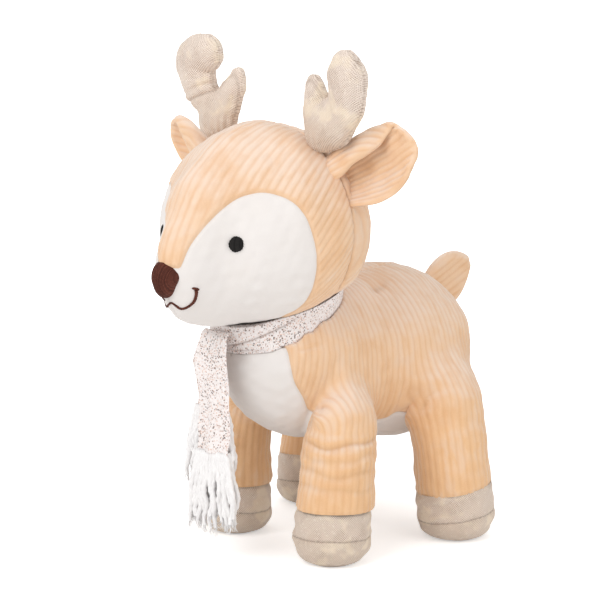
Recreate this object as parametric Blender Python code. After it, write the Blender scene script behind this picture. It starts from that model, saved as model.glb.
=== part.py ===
"""Plush deer that stands on four stuffed legs, with soft antlers, ears, a tail and a fringed scarf.

Units are metres and +Z is up. The deer faces -Y and its own left side is +X. The floor is z = 0 and the
origin lies under the middle of its box. Each fabric panel is a thin shell of its own over a stuffing core.
"""
from math import cos, pi, radians, sin, sqrt

import bmesh
import bpy
from mathutils import Matrix, Vector

# Cloth and clearances
CLOTH = 0.0016
CORE_GAP = 0.0006
GAP = 0.00035
LAYER_GAP = 0.0012
JOINT_GAP = 0.0006
SWING_ROOM = 0.0016
FLAT_CUT = 0.0005

# The deer is modelled round its body and then moved, so that the origin is under its box's middle
TO_ORIGIN = Vector((0.00105, 0.01292, 0.0))

# Head: a ball with a muzzle, modelled about its own centre and then turned
HEAD_CENTRE = Vector((0.0, -0.0564, 0.1918))
HEAD_RADIUS = 0.0600
HEAD_YAW = radians(6.6)
HEAD_ROLL = radians(-0.9)
MUZZLE_CENTRE = Vector((0.0, -0.0325, 0.0013))
MUZZLE_RADII = Vector((0.022, 0.057, 0.0403))
MUZZLE_TILT = radians(37.7)
HEAD_BLEND = 6.0
BACK_SEAM_Y = 0.008
FACE_EDGE = (
    (-0.0820, -0.0105), (-0.0775, 0.0010), (-0.0700, 0.0110), (-0.0600, 0.0205), (-0.0500, 0.0275),
    (-0.0400, 0.0300), (-0.0315, 0.0257), (-0.0262, 0.0170), (-0.0230, 0.0050), (-0.0205, -0.0110),
    (-0.0205, -0.0275), (-0.0190, -0.0370), (-0.0200, -0.0430),
)
EYE_PLACE = Vector((0.0290, -0.0587, 0.0032))
EYE_RADIUS = 0.0040
NOSE_DIRECTION = Vector((0.0, -0.0850, -0.0180))
NOSE_HALF_WIDTH = 0.0096
NOSE_HALF_HEIGHT = 0.0094
NECK_TILT = radians(20)
NECK_OPENING = 0.0240
UNDERSIDE_DROP = 0.0405
UNDERSIDE_BLEND = 8.0
HEAD_CLEARANCE = 0.0011
TURN_RANGE = (-25, 15)
TURN_STEP = 5

# Body: a chest and a rump blended into one form
BODY_CENTRE = Vector((0.0, 0.010, 0.112))
CHEST_CENTRE = Vector((0.0, -0.0081, 0.1084))
CHEST_RADII = Vector((0.0414, 0.0713, 0.0463))
RUMP_CENTRE = Vector((0.0, 0.0437, 0.1054))
RUMP_RADII = Vector((0.0513, 0.0525, 0.0513))
NECK_CENTRE = Vector((0.0, -0.0420, 0.1240))
NECK_RADII = Vector((0.0400, 0.0385, 0.0340))
BODY_BLEND = 8.0
BODY_SEGMENTS = 20
BODY_RINGS = 14
BELLY_EDGE = (
    (-0.0730, 0.1420), (-0.0685, 0.1280), (-0.0665, 0.1170), (-0.0630, 0.1070), (-0.0555, 0.0965),
    (-0.0450, 0.0840),
    (-0.0200, 0.0745), (0.0090, 0.0722), (0.0170, 0.0765), (0.0265, 0.0750), (0.0420, 0.0680),
    (0.0620, 0.0620),
)

# Legs: a round shoulder or hip on an axis along X, and a stuffed tube down to the hoof, as
# (height, x, y, radius) stations of the left leg. Each leg leans its own way at the floor.
SOLE_TOP = 0.0140
HOOF_TOP = 0.0300
SEAT_FRONT = {"hip": Vector((0.0405, -0.0392, 0.0730)), "radii": (0.0232, 0.0223), "inner": 0.0195}
SEAT_REAR = {"hip": Vector((0.0480, 0.0445, 0.0790)), "radii": (0.0240, 0.0228), "inner": 0.0270}
FRONT_TUBE = (
    (-FLAT_CUT, 0.0452, -0.0412, 0.0130), (0.0025, 0.0452, -0.0412, 0.0190), (0.0075, 0.0452, -0.0412, 0.0224),
    (0.0140, 0.0452, -0.0412, 0.0233), (0.0220, 0.0451, -0.0412, 0.0228), (0.0300, 0.0450, -0.0411, 0.0207),
    (0.0345, 0.0448, -0.0409, 0.0205), (0.0480, 0.0440, -0.0404, 0.0215), (0.0620, 0.0425, -0.0397, 0.0219),
    (0.0730, 0.0400, -0.0392, 0.0205), (0.0800, 0.0380, -0.0390, 0.0150),
)
REAR_TUBE = (
    (-FLAT_CUT, 0.0573, 0.0419, 0.0125), (0.0025, 0.0573, 0.0419, 0.0184), (0.0075, 0.0573, 0.0419, 0.0218),
    (0.0140, 0.0573, 0.0419, 0.0228), (0.0220, 0.0571, 0.0419, 0.0224), (0.0300, 0.0567, 0.0419, 0.0212),
    (0.0345, 0.0562, 0.0420, 0.0215), (0.0500, 0.0545, 0.0425, 0.0225), (0.0660, 0.0520, 0.0433, 0.0230),
    (0.0780, 0.0485, 0.0440, 0.0215), (0.0860, 0.0460, 0.0444, 0.0150),
)
LEAN_HEIGHT = 0.0700
LEANS = {
    ("front", "left"): Vector((0.0000, -0.0028)),
    ("front", "right"): Vector((0.0000, 0.0030)),
    ("rear", "left"): Vector((0.0015, 0.0042)),
    ("rear", "right"): Vector((0.0000, -0.0045)),
}
LEG_SIDES = 14
CORE_SIDES = 10

# Antlers: one curved tall lobe and one short tine, in the head's own frame
ANTLER_FOOT = Vector((0.0375, 0.0060, 0.0560))
ANTLER_MAIN = (
    (0.0375, 0.0060, 0.0560, 0.0070), (0.0390, 0.0060, 0.0625, 0.0085), (0.0430, 0.0058, 0.0710, 0.0116),
    (0.0508, 0.0052, 0.0805, 0.0128), (0.0556, 0.0044, 0.0900, 0.0136), (0.0550, 0.0038, 0.0990, 0.0130),
    (0.0525, 0.0034, 0.1065, 0.0085),
)
ANTLER_TINE = (
    (0.0430, 0.0060, 0.0640, 0.0070), (0.0352, 0.0065, 0.0715, 0.0092), (0.0290, 0.0072, 0.0785, 0.0082),
    (0.0264, 0.0078, 0.0855, 0.0072), (0.0256, 0.0080, 0.0905, 0.0042),
)
ANTLER_FLATTEN = 0.80
ANTLER_SIDES = 8
ANTLER_CORE_SIDES = 6

# Ears: two layers of cloth, cupped forwards, in the head's own frame; the right one droops
EAR_BASE = Vector((0.0490, 0.0140, 0.0300))
EAR_TIP = Vector((0.0890, 0.0222, 0.0545))
EAR_ACROSS = Vector((-0.46, 0.10, 0.88))
EAR_HALF_WIDTH = 0.0215
EAR_CUP = 0.0075
EAR_LAYER = 0.0023
EAR_HINGE = Vector((0.0535, 0.0150, 0.0325))
EAR_CLEARANCE = 0.0012
EAR_SWINGS = (-15, -10, -5, 0, 5, 10, 15)
EAR_DROOP = {"left": 0.0, "right": radians(1)}
EAR_TILT = {"left": 0.0, "right": radians(10)}
EAR_TWIST = {"left": 0.0, "right": radians(-27)}
EAR_SCALE = {"left": 1.0, "right": 0.92}
EAR_NARROWING = {"left": 1.0, "right": 0.85}

# Tail: two layers of cloth that stand on edge, sewn along a line down the rump
TAIL_BASE = Vector((0.0, 0.0800, 0.1350))
TAIL_TIP = Vector((0.0, 0.1195, 0.1490))
TAIL_ACROSS = Vector((0.0, -0.35, 0.94))
TAIL_HINGE = Vector((0.0, 0.0853, 0.1385))
TAIL_HALF_WIDTH = 0.0142
TAIL_LAYER = 0.0024
TAIL_CLEARANCE = 0.0012

# Scarf: a band round the neck, given as (degrees from the front, radius round the neck's axis, drop
# below the head's centre), and two hanging tails with yarn fringes
BAND_TOP = ((0, 0.0500, 0.0370), (34, 0.0435, 0.0370), (65, 0.0402, 0.0370), (100, 0.0400, 0.0378),
            (140, 0.0365, 0.0410), (180, 0.0360, 0.0410))
BAND_LOW = ((0, 0.0485, 0.0548), (30, 0.0455, 0.0548), (45, 0.0415, 0.0548), (64, 0.0368, 0.0548),
            (82, 0.0325, 0.0548), (110, 0.0300, 0.0548), (180, 0.0300, 0.0548))
BAND_THICKNESS = 0.0020
BAND_STEPS = 28
COLLAR_LIP = 0.0010
COLLAR_FLARE = 0.0250
TAIL_STRIP_WIDTH = 0.0230
TAIL_STRIP_THICKNESS = 0.0018
SCARF_FRONT = {"x": 0.0000, "y": -0.0970, "top": 0.1370, "hem": 0.0660, "lean": radians(-8)}
SCARF_REAR = {"x": -0.0050, "y": -0.0895, "top": 0.1290, "hem": 0.0900, "lean": radians(6)}
SCARF_PIVOT = Vector((0.0, -0.0935, 0.1370))
STRAND_RADIUS = 0.0012
STRAND_STEPS = 4
STRANDS = 7
FRINGE_FRONT_LENGTH = 0.0440
FRINGE_REAR_LENGTH = 0.0420

MATERIALS = {
    "velour_tan": ((0.79, 0.52, 0.32), 0.95, 0.0),
    "velour_white": ((0.86, 0.83, 0.79), 0.95, 0.0),
    "knit_gold": ((0.72, 0.58, 0.46), 0.55, 0.35),
    "stuffing": ((0.90, 0.90, 0.88), 1.0, 0.0),
    "thread_brown": ((0.11, 0.036, 0.022), 0.6, 0.0),
    "thread_black": ((0.008, 0.008, 0.008), 0.5, 0.0),
    "scarf_cloth": ((0.88, 0.84, 0.82), 0.7, 0.1),
    "yarn_white": ((0.90, 0.87, 0.84), 1.0, 0.0),
}

work = None
model = None
materials = {}


def clear_scene():
    """Removes whatever the scene holds."""
    for thing in list(bpy.data.objects):
        bpy.data.objects.remove(thing, do_unlink=True)


def new_collection(name):
    """Makes a collection in the scene."""
    collection = bpy.data.collections.new(name)
    bpy.context.scene.collection.children.link(collection)
    return collection


def make_materials():
    """One plain Principled material for each kind of cloth, thread or yarn."""
    for name, (colour, roughness, metallic) in MATERIALS.items():
        material = bpy.data.materials.new(name)
        material.use_nodes = True
        shader = material.node_tree.nodes["Principled BSDF"]
        shader.inputs["Base Color"].default_value = (*colour, 1.0)
        shader.inputs["Roughness"].default_value = roughness
        shader.inputs["Metallic"].default_value = metallic
        material.diffuse_color = (*colour, 1.0)
        materials[name] = material


# Solids and cuts

def solid(name, bm):
    """Turns a bmesh into a construction object with its faces pointing out."""
    bm.normal_update()
    bmesh.ops.recalc_face_normals(bm, faces=bm.faces)
    if bm.calc_volume(signed=True) < 0:
        bmesh.ops.reverse_faces(bm, faces=bm.faces)
    mesh = bpy.data.meshes.new(name)
    bm.to_mesh(mesh)
    bm.free()
    thing = bpy.data.objects.new(name, mesh)
    work.objects.link(thing)
    return thing


def copy_of(thing, name):
    """A second object with its own copy of the mesh."""
    twin = bpy.data.objects.new(name, thing.data.copy())
    work.objects.link(twin)
    return twin


def discard(*things):
    """Removes construction objects that are no longer needed."""
    for thing in things:
        bpy.data.objects.remove(thing, do_unlink=True)


def combine(target, tool, operation, solver="EXACT"):
    """Runs one Boolean and keeps its result as the target's mesh."""
    modifier = target.modifiers.new(operation.lower(), "BOOLEAN")
    modifier.operation = operation
    modifier.object = tool
    modifier.solver = solver
    depsgraph = bpy.context.evaluated_depsgraph_get()
    mesh = bpy.data.meshes.new_from_object(target.evaluated_get(depsgraph))
    target.modifiers.remove(modifier)
    target.data = mesh
    return target


def cut(target, *tools, solver="EXACT"):
    """Takes each tool away from the target."""
    for tool in tools:
        combine(target, tool, "DIFFERENCE", solver)
    return target


def keep(target, tool, solver="EXACT"):
    """Keeps only what lies inside the tool."""
    return combine(target, tool, "INTERSECT", solver)


def largest_piece(thing):
    """Drops the slivers that a cut leaves beside its main piece."""
    bm = bmesh.new()
    bm.from_mesh(thing.data)
    left = set(bm.verts)
    pieces = []
    while left:
        seed = left.pop()
        piece, edge = {seed}, [seed]
        while edge:
            vertex = edge.pop()
            for link in vertex.link_edges:
                other = link.other_vert(vertex)
                if other in left:
                    left.remove(other)
                    piece.add(other)
                    edge.append(other)
        pieces.append(piece)
    pieces.sort(key=len)
    for piece in pieces[:-1]:
        bmesh.ops.delete(bm, geom=list(piece), context="VERTS")
    bm.to_mesh(thing.data)
    bm.free()
    return thing


def join(target, *tools):
    """Fuses the tools into the target."""
    for tool in tools:
        combine(target, tool, "UNION")
    return target


def box(name, low, high):
    """A box between two corners."""
    low, high = Vector(low), Vector(high)
    bm = bmesh.new()
    bmesh.ops.create_cube(bm, size=1.0)
    size = high - low
    for vertex in bm.verts:
        vertex.co = (low + high) / 2 + Vector((vertex.co[i] * size[i] for i in range(3)))
    return solid(name, bm)


def ball(name, centre, radii, segments=24, rings=14):
    """An ellipsoid whose poles lie along X."""
    bm = bmesh.new()
    bmesh.ops.create_uvsphere(bm, u_segments=segments, v_segments=rings, radius=1.0)
    for vertex in bm.verts:
        x, y, z = vertex.co
        vertex.co = Vector(centre) + Vector((z * radii[0], y * radii[1], -x * radii[2]))
    return solid(name, bm)


def loft(name, rings):
    """A closed solid through rings of points, with a fan at each end."""
    bm = bmesh.new()
    made = [[bm.verts.new(point) for point in ring] for ring in rings]
    count = len(made[0])
    for lower, upper in zip(made, made[1:]):
        for i in range(count):
            j = (i + 1) % count
            bm.faces.new((lower[i], lower[j], upper[j], upper[i]))
    for ring in (made[0], made[-1]):
        middle = sum((vertex.co for vertex in ring), Vector()) / count
        centre = bm.verts.new(middle)
        for i in range(count):
            bm.faces.new((ring[i], ring[(i + 1) % count], centre))
    return solid(name, bm)


def prism(name, outline, low, high):
    """A prism along X over an outline of (y, z) points."""
    ends = []
    for x in (low, high):
        ends.append([Vector((x, y, z)) for y, z in outline])
    bm = bmesh.new()
    near = [bm.verts.new(point) for point in ends[0]]
    far = [bm.verts.new(point) for point in ends[1]]
    bm.faces.new(near)
    bm.faces.new(list(reversed(far)))
    for i in range(len(near)):
        j = (i + 1) % len(near)
        bm.faces.new((near[i], far[i], far[j], near[j]))
    return solid(name, bm)


def smooth_path(points, steps):
    """Points along a Catmull-Rom curve, with the given number of steps in each span."""
    vectors = [Vector(point) for point in points]
    padded = [2 * vectors[0] - vectors[1], *vectors, 2 * vectors[-1] - vectors[-2]]
    result = []
    for i in range(1, len(padded) - 2):
        a, b, c, d = padded[i - 1:i + 3]
        for k in range(steps):
            t = k / steps
            result.append(0.5 * (2 * b + (c - a) * t + (2 * a - 5 * b + 4 * c - d) * t * t
                                 + (3 * b - a - 3 * c + d) * t ** 3))
    result.append(vectors[-1])
    return result


def tube(name, points, radii, sides, flatten=1.0, flat_axis=None):
    """A solid tube along points, each with its own radius, thinner along one axis if asked."""
    rings = []
    side = None
    for i, point in enumerate(points):
        before = points[max(i - 1, 0)]
        after = points[min(i + 1, len(points) - 1)]
        along = (after - before).normalized()
        if side is None:
            side = along.orthogonal().normalized() if flat_axis is None else flat_axis
        side = (side - along * side.dot(along)).normalized()
        other = along.cross(side)
        ring = []
        for k in range(sides):
            angle = 2 * pi * k / sides
            ring.append(point + side * (radii[i] * flatten * cos(angle)) + other * (radii[i] * sin(angle)))
        rings.append(ring)
    return loft(name, rings)


def mirrored(thing, name):
    """The same solid on the other side of x = 0."""
    twin = copy_of(thing, name)
    twin.data.transform(Matrix.Scale(-1, 4, Vector((1, 0, 0))))
    twin.data.flip_normals()
    return twin


def finish(thing, name, material, parent=None):
    """Names a finished node, gives it its material and puts it in the model."""
    thing.name = name
    thing.data.name = name
    thing.data.materials.clear()
    thing.data.materials.append(materials[material])
    thing.data.shade_smooth()
    thing.data.set_sharp_from_angle(angle=radians(50))
    work.objects.unlink(thing)
    model.objects.link(thing)
    if parent is not None:
        thing.parent = parent
    return thing


# Forms of the head and the body

def far_side(direction, centre, radii, tilt=0.0):
    """How far a ray from the origin runs before it leaves a tilted ellipsoid."""
    turn = Matrix.Rotation(-tilt, 3, "X")
    d = turn @ direction
    c = turn @ centre
    d = Vector((d[i] / radii[i] for i in range(3)))
    c = Vector((c[i] / radii[i] for i in range(3)))
    half = d.dot(c)
    under = half * half - d.dot(d) * (c.dot(c) - 1)
    if under <= 0:
        return 0.0
    return max((half + sqrt(under)) / d.dot(d), 0.0)


def blend(first, second, power):
    """Joins two reaches into one smooth larger one."""
    return (first ** power + second ** power) ** (1 / power)


def neck_axis():
    """The direction of the neck, from the body up into the head."""
    return Vector((0.0, -sin(NECK_TILT), cos(NECK_TILT)))


def head_turn():
    """How the head's own frame stands in the world at rest."""
    return Matrix.Rotation(HEAD_YAW, 3, "Z") @ Matrix.Rotation(-HEAD_ROLL, 3, "Y")


def head_reach(direction):
    """Distance from the head's centre to its surface, in the head's own frame: a ball whose underside
    is flattened over the neck, blended with the muzzle."""
    reach = HEAD_RADIUS
    down = -direction.dot(neck_axis())
    if down > 0.1:
        reach = blend(reach, UNDERSIDE_DROP / down, -UNDERSIDE_BLEND)
    muzzle = far_side(direction, MUZZLE_CENTRE, MUZZLE_RADII, MUZZLE_TILT)
    return blend(reach, muzzle, HEAD_BLEND)


def swept_reach(direction):
    """The farthest that the head reaches in a world direction over the whole range of its turn."""
    own = head_turn().inverted() @ direction
    turns = range(TURN_RANGE[0], TURN_RANGE[1] + 1, TURN_STEP)
    return max(head_reach(Matrix.Rotation(-radians(turn), 3, neck_axis()) @ own) for turn in turns)


def body_reach(direction):
    """Distance from the body's centre to its surface, found by halving along the ray."""
    lobes = ((CHEST_CENTRE, CHEST_RADII), (RUMP_CENTRE, RUMP_RADII), (NECK_CENTRE, NECK_RADII))
    low, high = 0.02, 0.14
    for _ in range(20):
        middle = (low + high) / 2
        point = BODY_CENTRE + direction * middle
        inside = 0.0
        for centre, radii in lobes:
            gauge = Vector(((point[i] - centre[i]) / radii[i] for i in range(3))).length
            inside += gauge ** -BODY_BLEND
        if inside > 1:
            low = middle
        else:
            high = middle
    return low


def form(name, reach, centre, offset, segments, rings, tilt=0.0):
    """A closed form whose poles lie along Y, moved in or out by an offset. Forms with the same counts
    are split into the same triangles, so that one nests inside another."""
    bm = bmesh.new()
    bmesh.ops.create_uvsphere(bm, u_segments=segments, v_segments=rings, radius=1.0)
    bmesh.ops.triangulate(bm, faces=bm.faces, quad_method="FIXED")
    turn = Matrix.Rotation(radians(90) + tilt, 3, "X")
    for vertex in bm.verts:
        direction = (turn @ vertex.co).normalized()
        vertex.co = centre + direction * (reach(direction) + offset)
    return solid(name, bm)


def head_point(direction, lift=0.0):
    """A point on the head's surface, or a little above it."""
    direction = Vector(direction).normalized()
    return direction * (head_reach(direction) + lift)


# Head

def make_head(frame):
    """The head's four panels, its stuffing, its eyes, its nose and its stitched mouth. The exact solver
    loses pieces of this skin too."""
    outer = form("head_outer", head_reach, Vector(), 0.0, 24, 16, MUZZLE_TILT / 2)
    inner = form("head_inner", head_reach, Vector(), -CLOTH, 18, 12, MUZZLE_TILT / 2)
    core = form("head_core", head_reach, Vector(), -CLOTH - CORE_GAP, 18, 12, MUZZLE_TILT / 2)
    hole = neck_hole()
    behind = box("behind", (-0.1, BACK_SEAM_Y + GAP / 2, -0.1), (0.1, 0.1, 0.1))
    ahead = box("ahead", (-0.1, -0.12, -0.1), (0.1, BACK_SEAM_Y - GAP / 2, 0.1))
    skin = cut(copy_of(outer, "head_skin"), inner, hole, solver="MANIFOLD")
    back = keep(copy_of(skin, "back"), behind, solver="MANIFOLD")
    front = keep(skin, ahead, solver="MANIFOLD")
    edge = [(-0.115, -0.0105)] + list(FACE_EDGE) + [(-0.0260, -0.080), (-0.115, -0.080)]
    sides = [prism("patch_left", edge, GAP / 2, 0.09), prism("patch_right", edge, -0.09, -GAP / 2)]
    left = keep(copy_of(front, "left"), sides[0], solver="MANIFOLD")
    right = keep(copy_of(front, "right"), sides[1], solver="MANIFOLD")
    grown = grow_outline(edge, GAP)
    patches = [prism("grown_left", grown, -GAP, 0.09), prism("grown_right", grown, -0.09, GAP)]
    cap = cut(front, *patches, solver="MANIFOLD")
    finish(largest_piece(cap), "head_cap_panel", "velour_tan", frame)
    finish(largest_piece(back), "head_back_panel", "velour_tan", frame)
    finish(largest_piece(left), "face_panel_left", "velour_white", frame)
    finish(largest_piece(right), "face_panel_right", "velour_white", frame)
    finish(core, "head_stuffing", "stuffing", frame)

    clearance = form("head_clearance", head_reach, Vector(), GAP, 24, 16, MUZZLE_TILT / 2)
    make_eyes(frame, clearance)
    make_nose(frame, clearance)
    make_mouth(frame)
    discard(outer, inner, hole, behind, ahead, clearance, *sides, *patches)


def neck_hole():
    """A round cutter for the opening where the head is closed by hand, in the head's own frame."""
    points = [neck_axis() * -0.030, neck_axis() * -0.080]
    return tube("neck_hole", points, [NECK_OPENING, NECK_OPENING], 24)


def grow_outline(outline, amount):
    """Moves each point of a closed outline away from the outline's middle."""
    count = len(outline)
    area = sum(outline[i][0] * outline[(i + 1) % count][1] - outline[(i + 1) % count][0] * outline[i][1]
               for i in range(count))
    side = 1 if area > 0 else -1
    grown = []
    for i in range(count):
        before = Vector(outline[i - 1])
        here = Vector(outline[i])
        after = Vector(outline[(i + 1) % count])
        along = ((here - before).normalized() + (after - here).normalized()).normalized()
        grown.append(tuple(here + Vector((along.y, -along.x)) * (amount * side)))
    return grown


def make_eyes(frame, clearance):
    """Two low round eyes of black satin stitch."""
    direction = EYE_PLACE.normalized()
    middle = head_point(direction, -0.0006)
    bm = bmesh.new()
    bmesh.ops.create_uvsphere(bm, u_segments=14, v_segments=8, radius=1.0)
    turn = direction.to_track_quat("Z", "Y").to_matrix()
    for vertex in bm.verts:
        x, y, z = vertex.co
        vertex.co = middle + turn @ Vector((x * EYE_RADIUS, y * EYE_RADIUS, z * 0.0022))
    eye = solid("eye", bm)
    twin = mirrored(eye, "eye_twin")
    finish(cut(eye, clearance), "eye_left", "thread_black", frame)
    finish(cut(twin, clearance), "eye_right", "thread_black", frame)


def make_nose(frame, clearance):
    """A rounded triangle of brown satin stitch on the muzzle's tip."""
    direction = NOSE_DIRECTION.normalized()
    middle = head_point(direction, 0.0005)
    turn = direction.to_track_quat("Y", "Z").to_matrix()
    rings = []
    for depth, scale in ((-0.0060, 0.90), (-0.0020, 1.0), (0.0012, 0.93), (0.0028, 0.72), (0.0036, 0.38)):
        ring = []
        for k in range(18):
            angle = 2 * pi * k / 18
            corner = 1 + 0.13 * cos(3 * (angle - radians(270)))
            x = NOSE_HALF_WIDTH * scale * corner * cos(angle)
            z = NOSE_HALF_HEIGHT * scale * corner * sin(angle) + 0.0008
            ring.append(middle + turn @ Vector((x, depth, z)))
        rings.append(ring)
    nose = cut(loft("nose", rings), clearance)
    finish(nose, "nose", "thread_brown", frame)


def make_mouth(frame):
    """One stitched smile with a short cross stitch at its near end."""
    smile = ((-0.0110, -0.0745, -0.0225), (-0.0100, -0.0745, -0.0300), (-0.0050, -0.0770, -0.0340),
             (0.0000, -0.0800, -0.0320), (0.0045, -0.0780, -0.0345), (0.0095, -0.0745, -0.0325),
             (0.0122, -0.0730, -0.0285), (0.0133, -0.0738, -0.0215))
    points = [head_point(point, 0.0013) for point in smooth_path(smile, 2)]
    mouth = tube("mouth", points, [0.0009] * len(points), 5)
    bar = [head_point(point, 0.0013) for point in ((0.0118, -0.0765, -0.0212), (0.0146, -0.0722, -0.0232))]
    cross = tube("cross", bar, [0.0008, 0.0008], 5)
    join(mouth, cross)
    discard(cross)
    finish(mouth, "mouth_stitching", "thread_brown", frame)


# Ears and antlers

def leaf(name, base, tip, across, half_width, cup, low, high, rows=7, columns=4):
    """One layer of a cupped leaf of cloth, between two heights over its middle surface."""
    along = tip - base
    length = along.length
    along.normalize()
    across = (across - along * across.dot(along)).normalized()
    normal = along.cross(across)
    rings = []
    for i in range(rows + 1):
        u = i / rows
        width = half_width * (0.30 * (1 - u) + sin(pi * min(u * 0.93 + 0.05, 1.0)) ** 0.62)
        spine = base + along * (length * u)
        top, bottom = [], []
        for k in range(columns + 1):
            v = 2 * k / columns - 1
            rise = cup * v * v * (0.35 + 0.65 * (1 - u)) - cup * 0.4 * sin(pi * u)
            edge = 1 - 0.55 * abs(v) ** 3
            point = spine + across * (width * v)
            top.append(point + normal * (rise + (high * edge if high > -low else high)))
            bottom.append(point + normal * (rise + (low * edge if -low > high else low)))
        rings.append(top + list(reversed(bottom)))
    return loft(name, rings)


def make_ears(frame):
    """Each ear is a front and a back layer of ribbed cloth, on a hinge along the seam at its base. The seam's
    edge clears the head wherever the ear swings. The right one is turned and folded narrower."""
    clearance = form("ear_clearance", head_reach, Vector(), EAR_CLEARANCE, 32, 22)
    for side, sign in (("left", 1), ("right", -1)):
        pivot = bpy.data.objects.new(f"ear_{side}_axis", None)
        pivot.location = Vector((sign * EAR_HINGE.x, EAR_HINGE.y, EAR_HINGE.z))
        pivot.parent = frame
        model.objects.link(pivot)
        hinge = Vector((sign * EAR_ACROSS.x, EAR_ACROSS.y, EAR_ACROSS.z)).normalized()
        tip = EAR_BASE + (EAR_TIP - EAR_BASE) * EAR_SCALE[side]
        width = EAR_HALF_WIDTH * EAR_NARROWING[side]
        along = Vector((sign * (EAR_TIP - EAR_BASE).x, (EAR_TIP - EAR_BASE).y, (EAR_TIP - EAR_BASE).z))
        forwards = (EAR_TIP - EAR_BASE).cross(EAR_ACROSS)
        forwards.x *= sign
        pose = (Matrix.Rotation(EAR_DROOP[side], 4, hinge) @ Matrix.Rotation(EAR_TILT[side], 4, forwards)
                @ Matrix.Rotation(EAR_TWIST[side], 4, along))
        for layer, low, high in (("front", LAYER_GAP / 2, EAR_LAYER), ("back", -EAR_LAYER, -LAYER_GAP / 2)):
            ear = leaf("ear", EAR_BASE, tip, EAR_ACROSS, width, EAR_CUP, low, high)
            if side == "right":
                ear = mirrored(ear, "ear_twin")
            ear.data.transform(Matrix.Translation(-pivot.location))
            ear.data.transform(pose)
            for swing in EAR_SWINGS:
                head = copy_of(clearance, "swung_head")
                head.data.transform(Matrix.Translation(-pivot.location))
                head.data.transform(Matrix.Rotation(radians(swing), 4, hinge))
                cut(ear, head, solver="MANIFOLD")
                discard(head)
            largest_piece(ear)
            finish(ear, f"ear_{side}_{layer}", "velour_tan", pivot)
    discard(clearance)


def antler_form(name, offset, sides):
    """The antler's fused lobes, moved in by an offset."""
    parts = []
    for stations in (ANTLER_MAIN, ANTLER_TINE):
        path = [Vector(station[:3]) for station in stations]
        radii = [station[3] - offset for station in stations]
        path[-1] = path[-1] + (path[-1] - path[-2]).normalized() * -offset
        parts.append(tube(name, path, radii, sides, ANTLER_FLATTEN, Vector((0, 1, 0))))
    main, tine = parts
    foot = ball("foot", ANTLER_FOOT, [ANTLER_MAIN[0][3] - offset] * 3, sides, 6)
    join(main, tine, foot)
    discard(tine, foot)
    return main


def make_antlers(frame):
    """Each antler is two sewn halves of metallic knit round a stuffing core."""
    outer = antler_form("antler_outer", 0.0, ANTLER_SIDES)
    inner = antler_form("antler_inner", CLOTH, ANTLER_CORE_SIDES)
    core = antler_form("antler_core", CLOTH + GAP, ANTLER_CORE_SIDES)
    skin = cut(outer, inner)
    seam = ANTLER_FOOT.y - 0.0005
    front = keep(copy_of(skin, "front"), box("ahead", (-0.1, -0.1, 0.0), (0.1, seam - GAP / 2, 0.2)))
    back = keep(skin, box("behind", (-0.1, seam + GAP / 2, 0.0), (0.1, 0.1, 0.2)))
    for side, sign in (("left", 1), ("right", -1)):
        pivot = bpy.data.objects.new(f"antler_{side}_axis", None)
        pivot.location = Vector((sign * ANTLER_FOOT.x, ANTLER_FOOT.y, ANTLER_FOOT.z))
        pivot.parent = frame
        model.objects.link(pivot)
        for thing, label, material in ((front, "front_panel", "knit_gold"), (back, "back_panel", "knit_gold"),
                                       (core, "stuffing", "stuffing")):
            node = copy_of(thing, "node") if side == "left" else mirrored(thing, "node")
            node.data.transform(Matrix.Translation(-pivot.location))
            finish(node, f"antler_{side}_{label}", material, pivot)
    discard(inner, front, back, core)


# Body, tail and legs

def seat(name, spec, grow, sides):
    """The round shoulder or hip of one left leg: a solid of revolution about an axis along X."""
    along, across = spec["radii"]
    lump = ball(name, spec["hip"], (along + grow, across + grow, across + grow), sides, sides // 2)
    return keep(lump, box("side", (spec["inner"] - grow, -0.2, 0.0), (0.2, 0.2, 0.3)))


def leg_shaft(name, stations, offset, sides):
    """The tube of one left leg, moved in by an offset."""
    rings = []
    for height, x, y, radius in stations:
        ring = []
        for k in range(sides):
            angle = 2 * pi * k / sides
            reach = radius - offset
            ring.append(Vector((x + reach * cos(angle), y + reach * sin(angle), height)))
        rings.append(ring)
    for point in rings[0]:
        point.z += max(offset, 0.0) + (FLAT_CUT if offset else 0.0)
    return loft(name, rings)


def leg_form(name, spec, stations, offset, sides):
    """One left leg with its round shoulder or hip, moved in by an offset."""
    shaft = leg_shaft(name, stations, offset, sides)
    lump = seat("lump", spec, -offset, sides)
    keep(shaft, box("side", (spec["inner"] + offset, -0.2, -0.01), (0.2, 0.2, 0.3)))
    join(shaft, lump)
    discard(lump)
    return shaft


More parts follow.
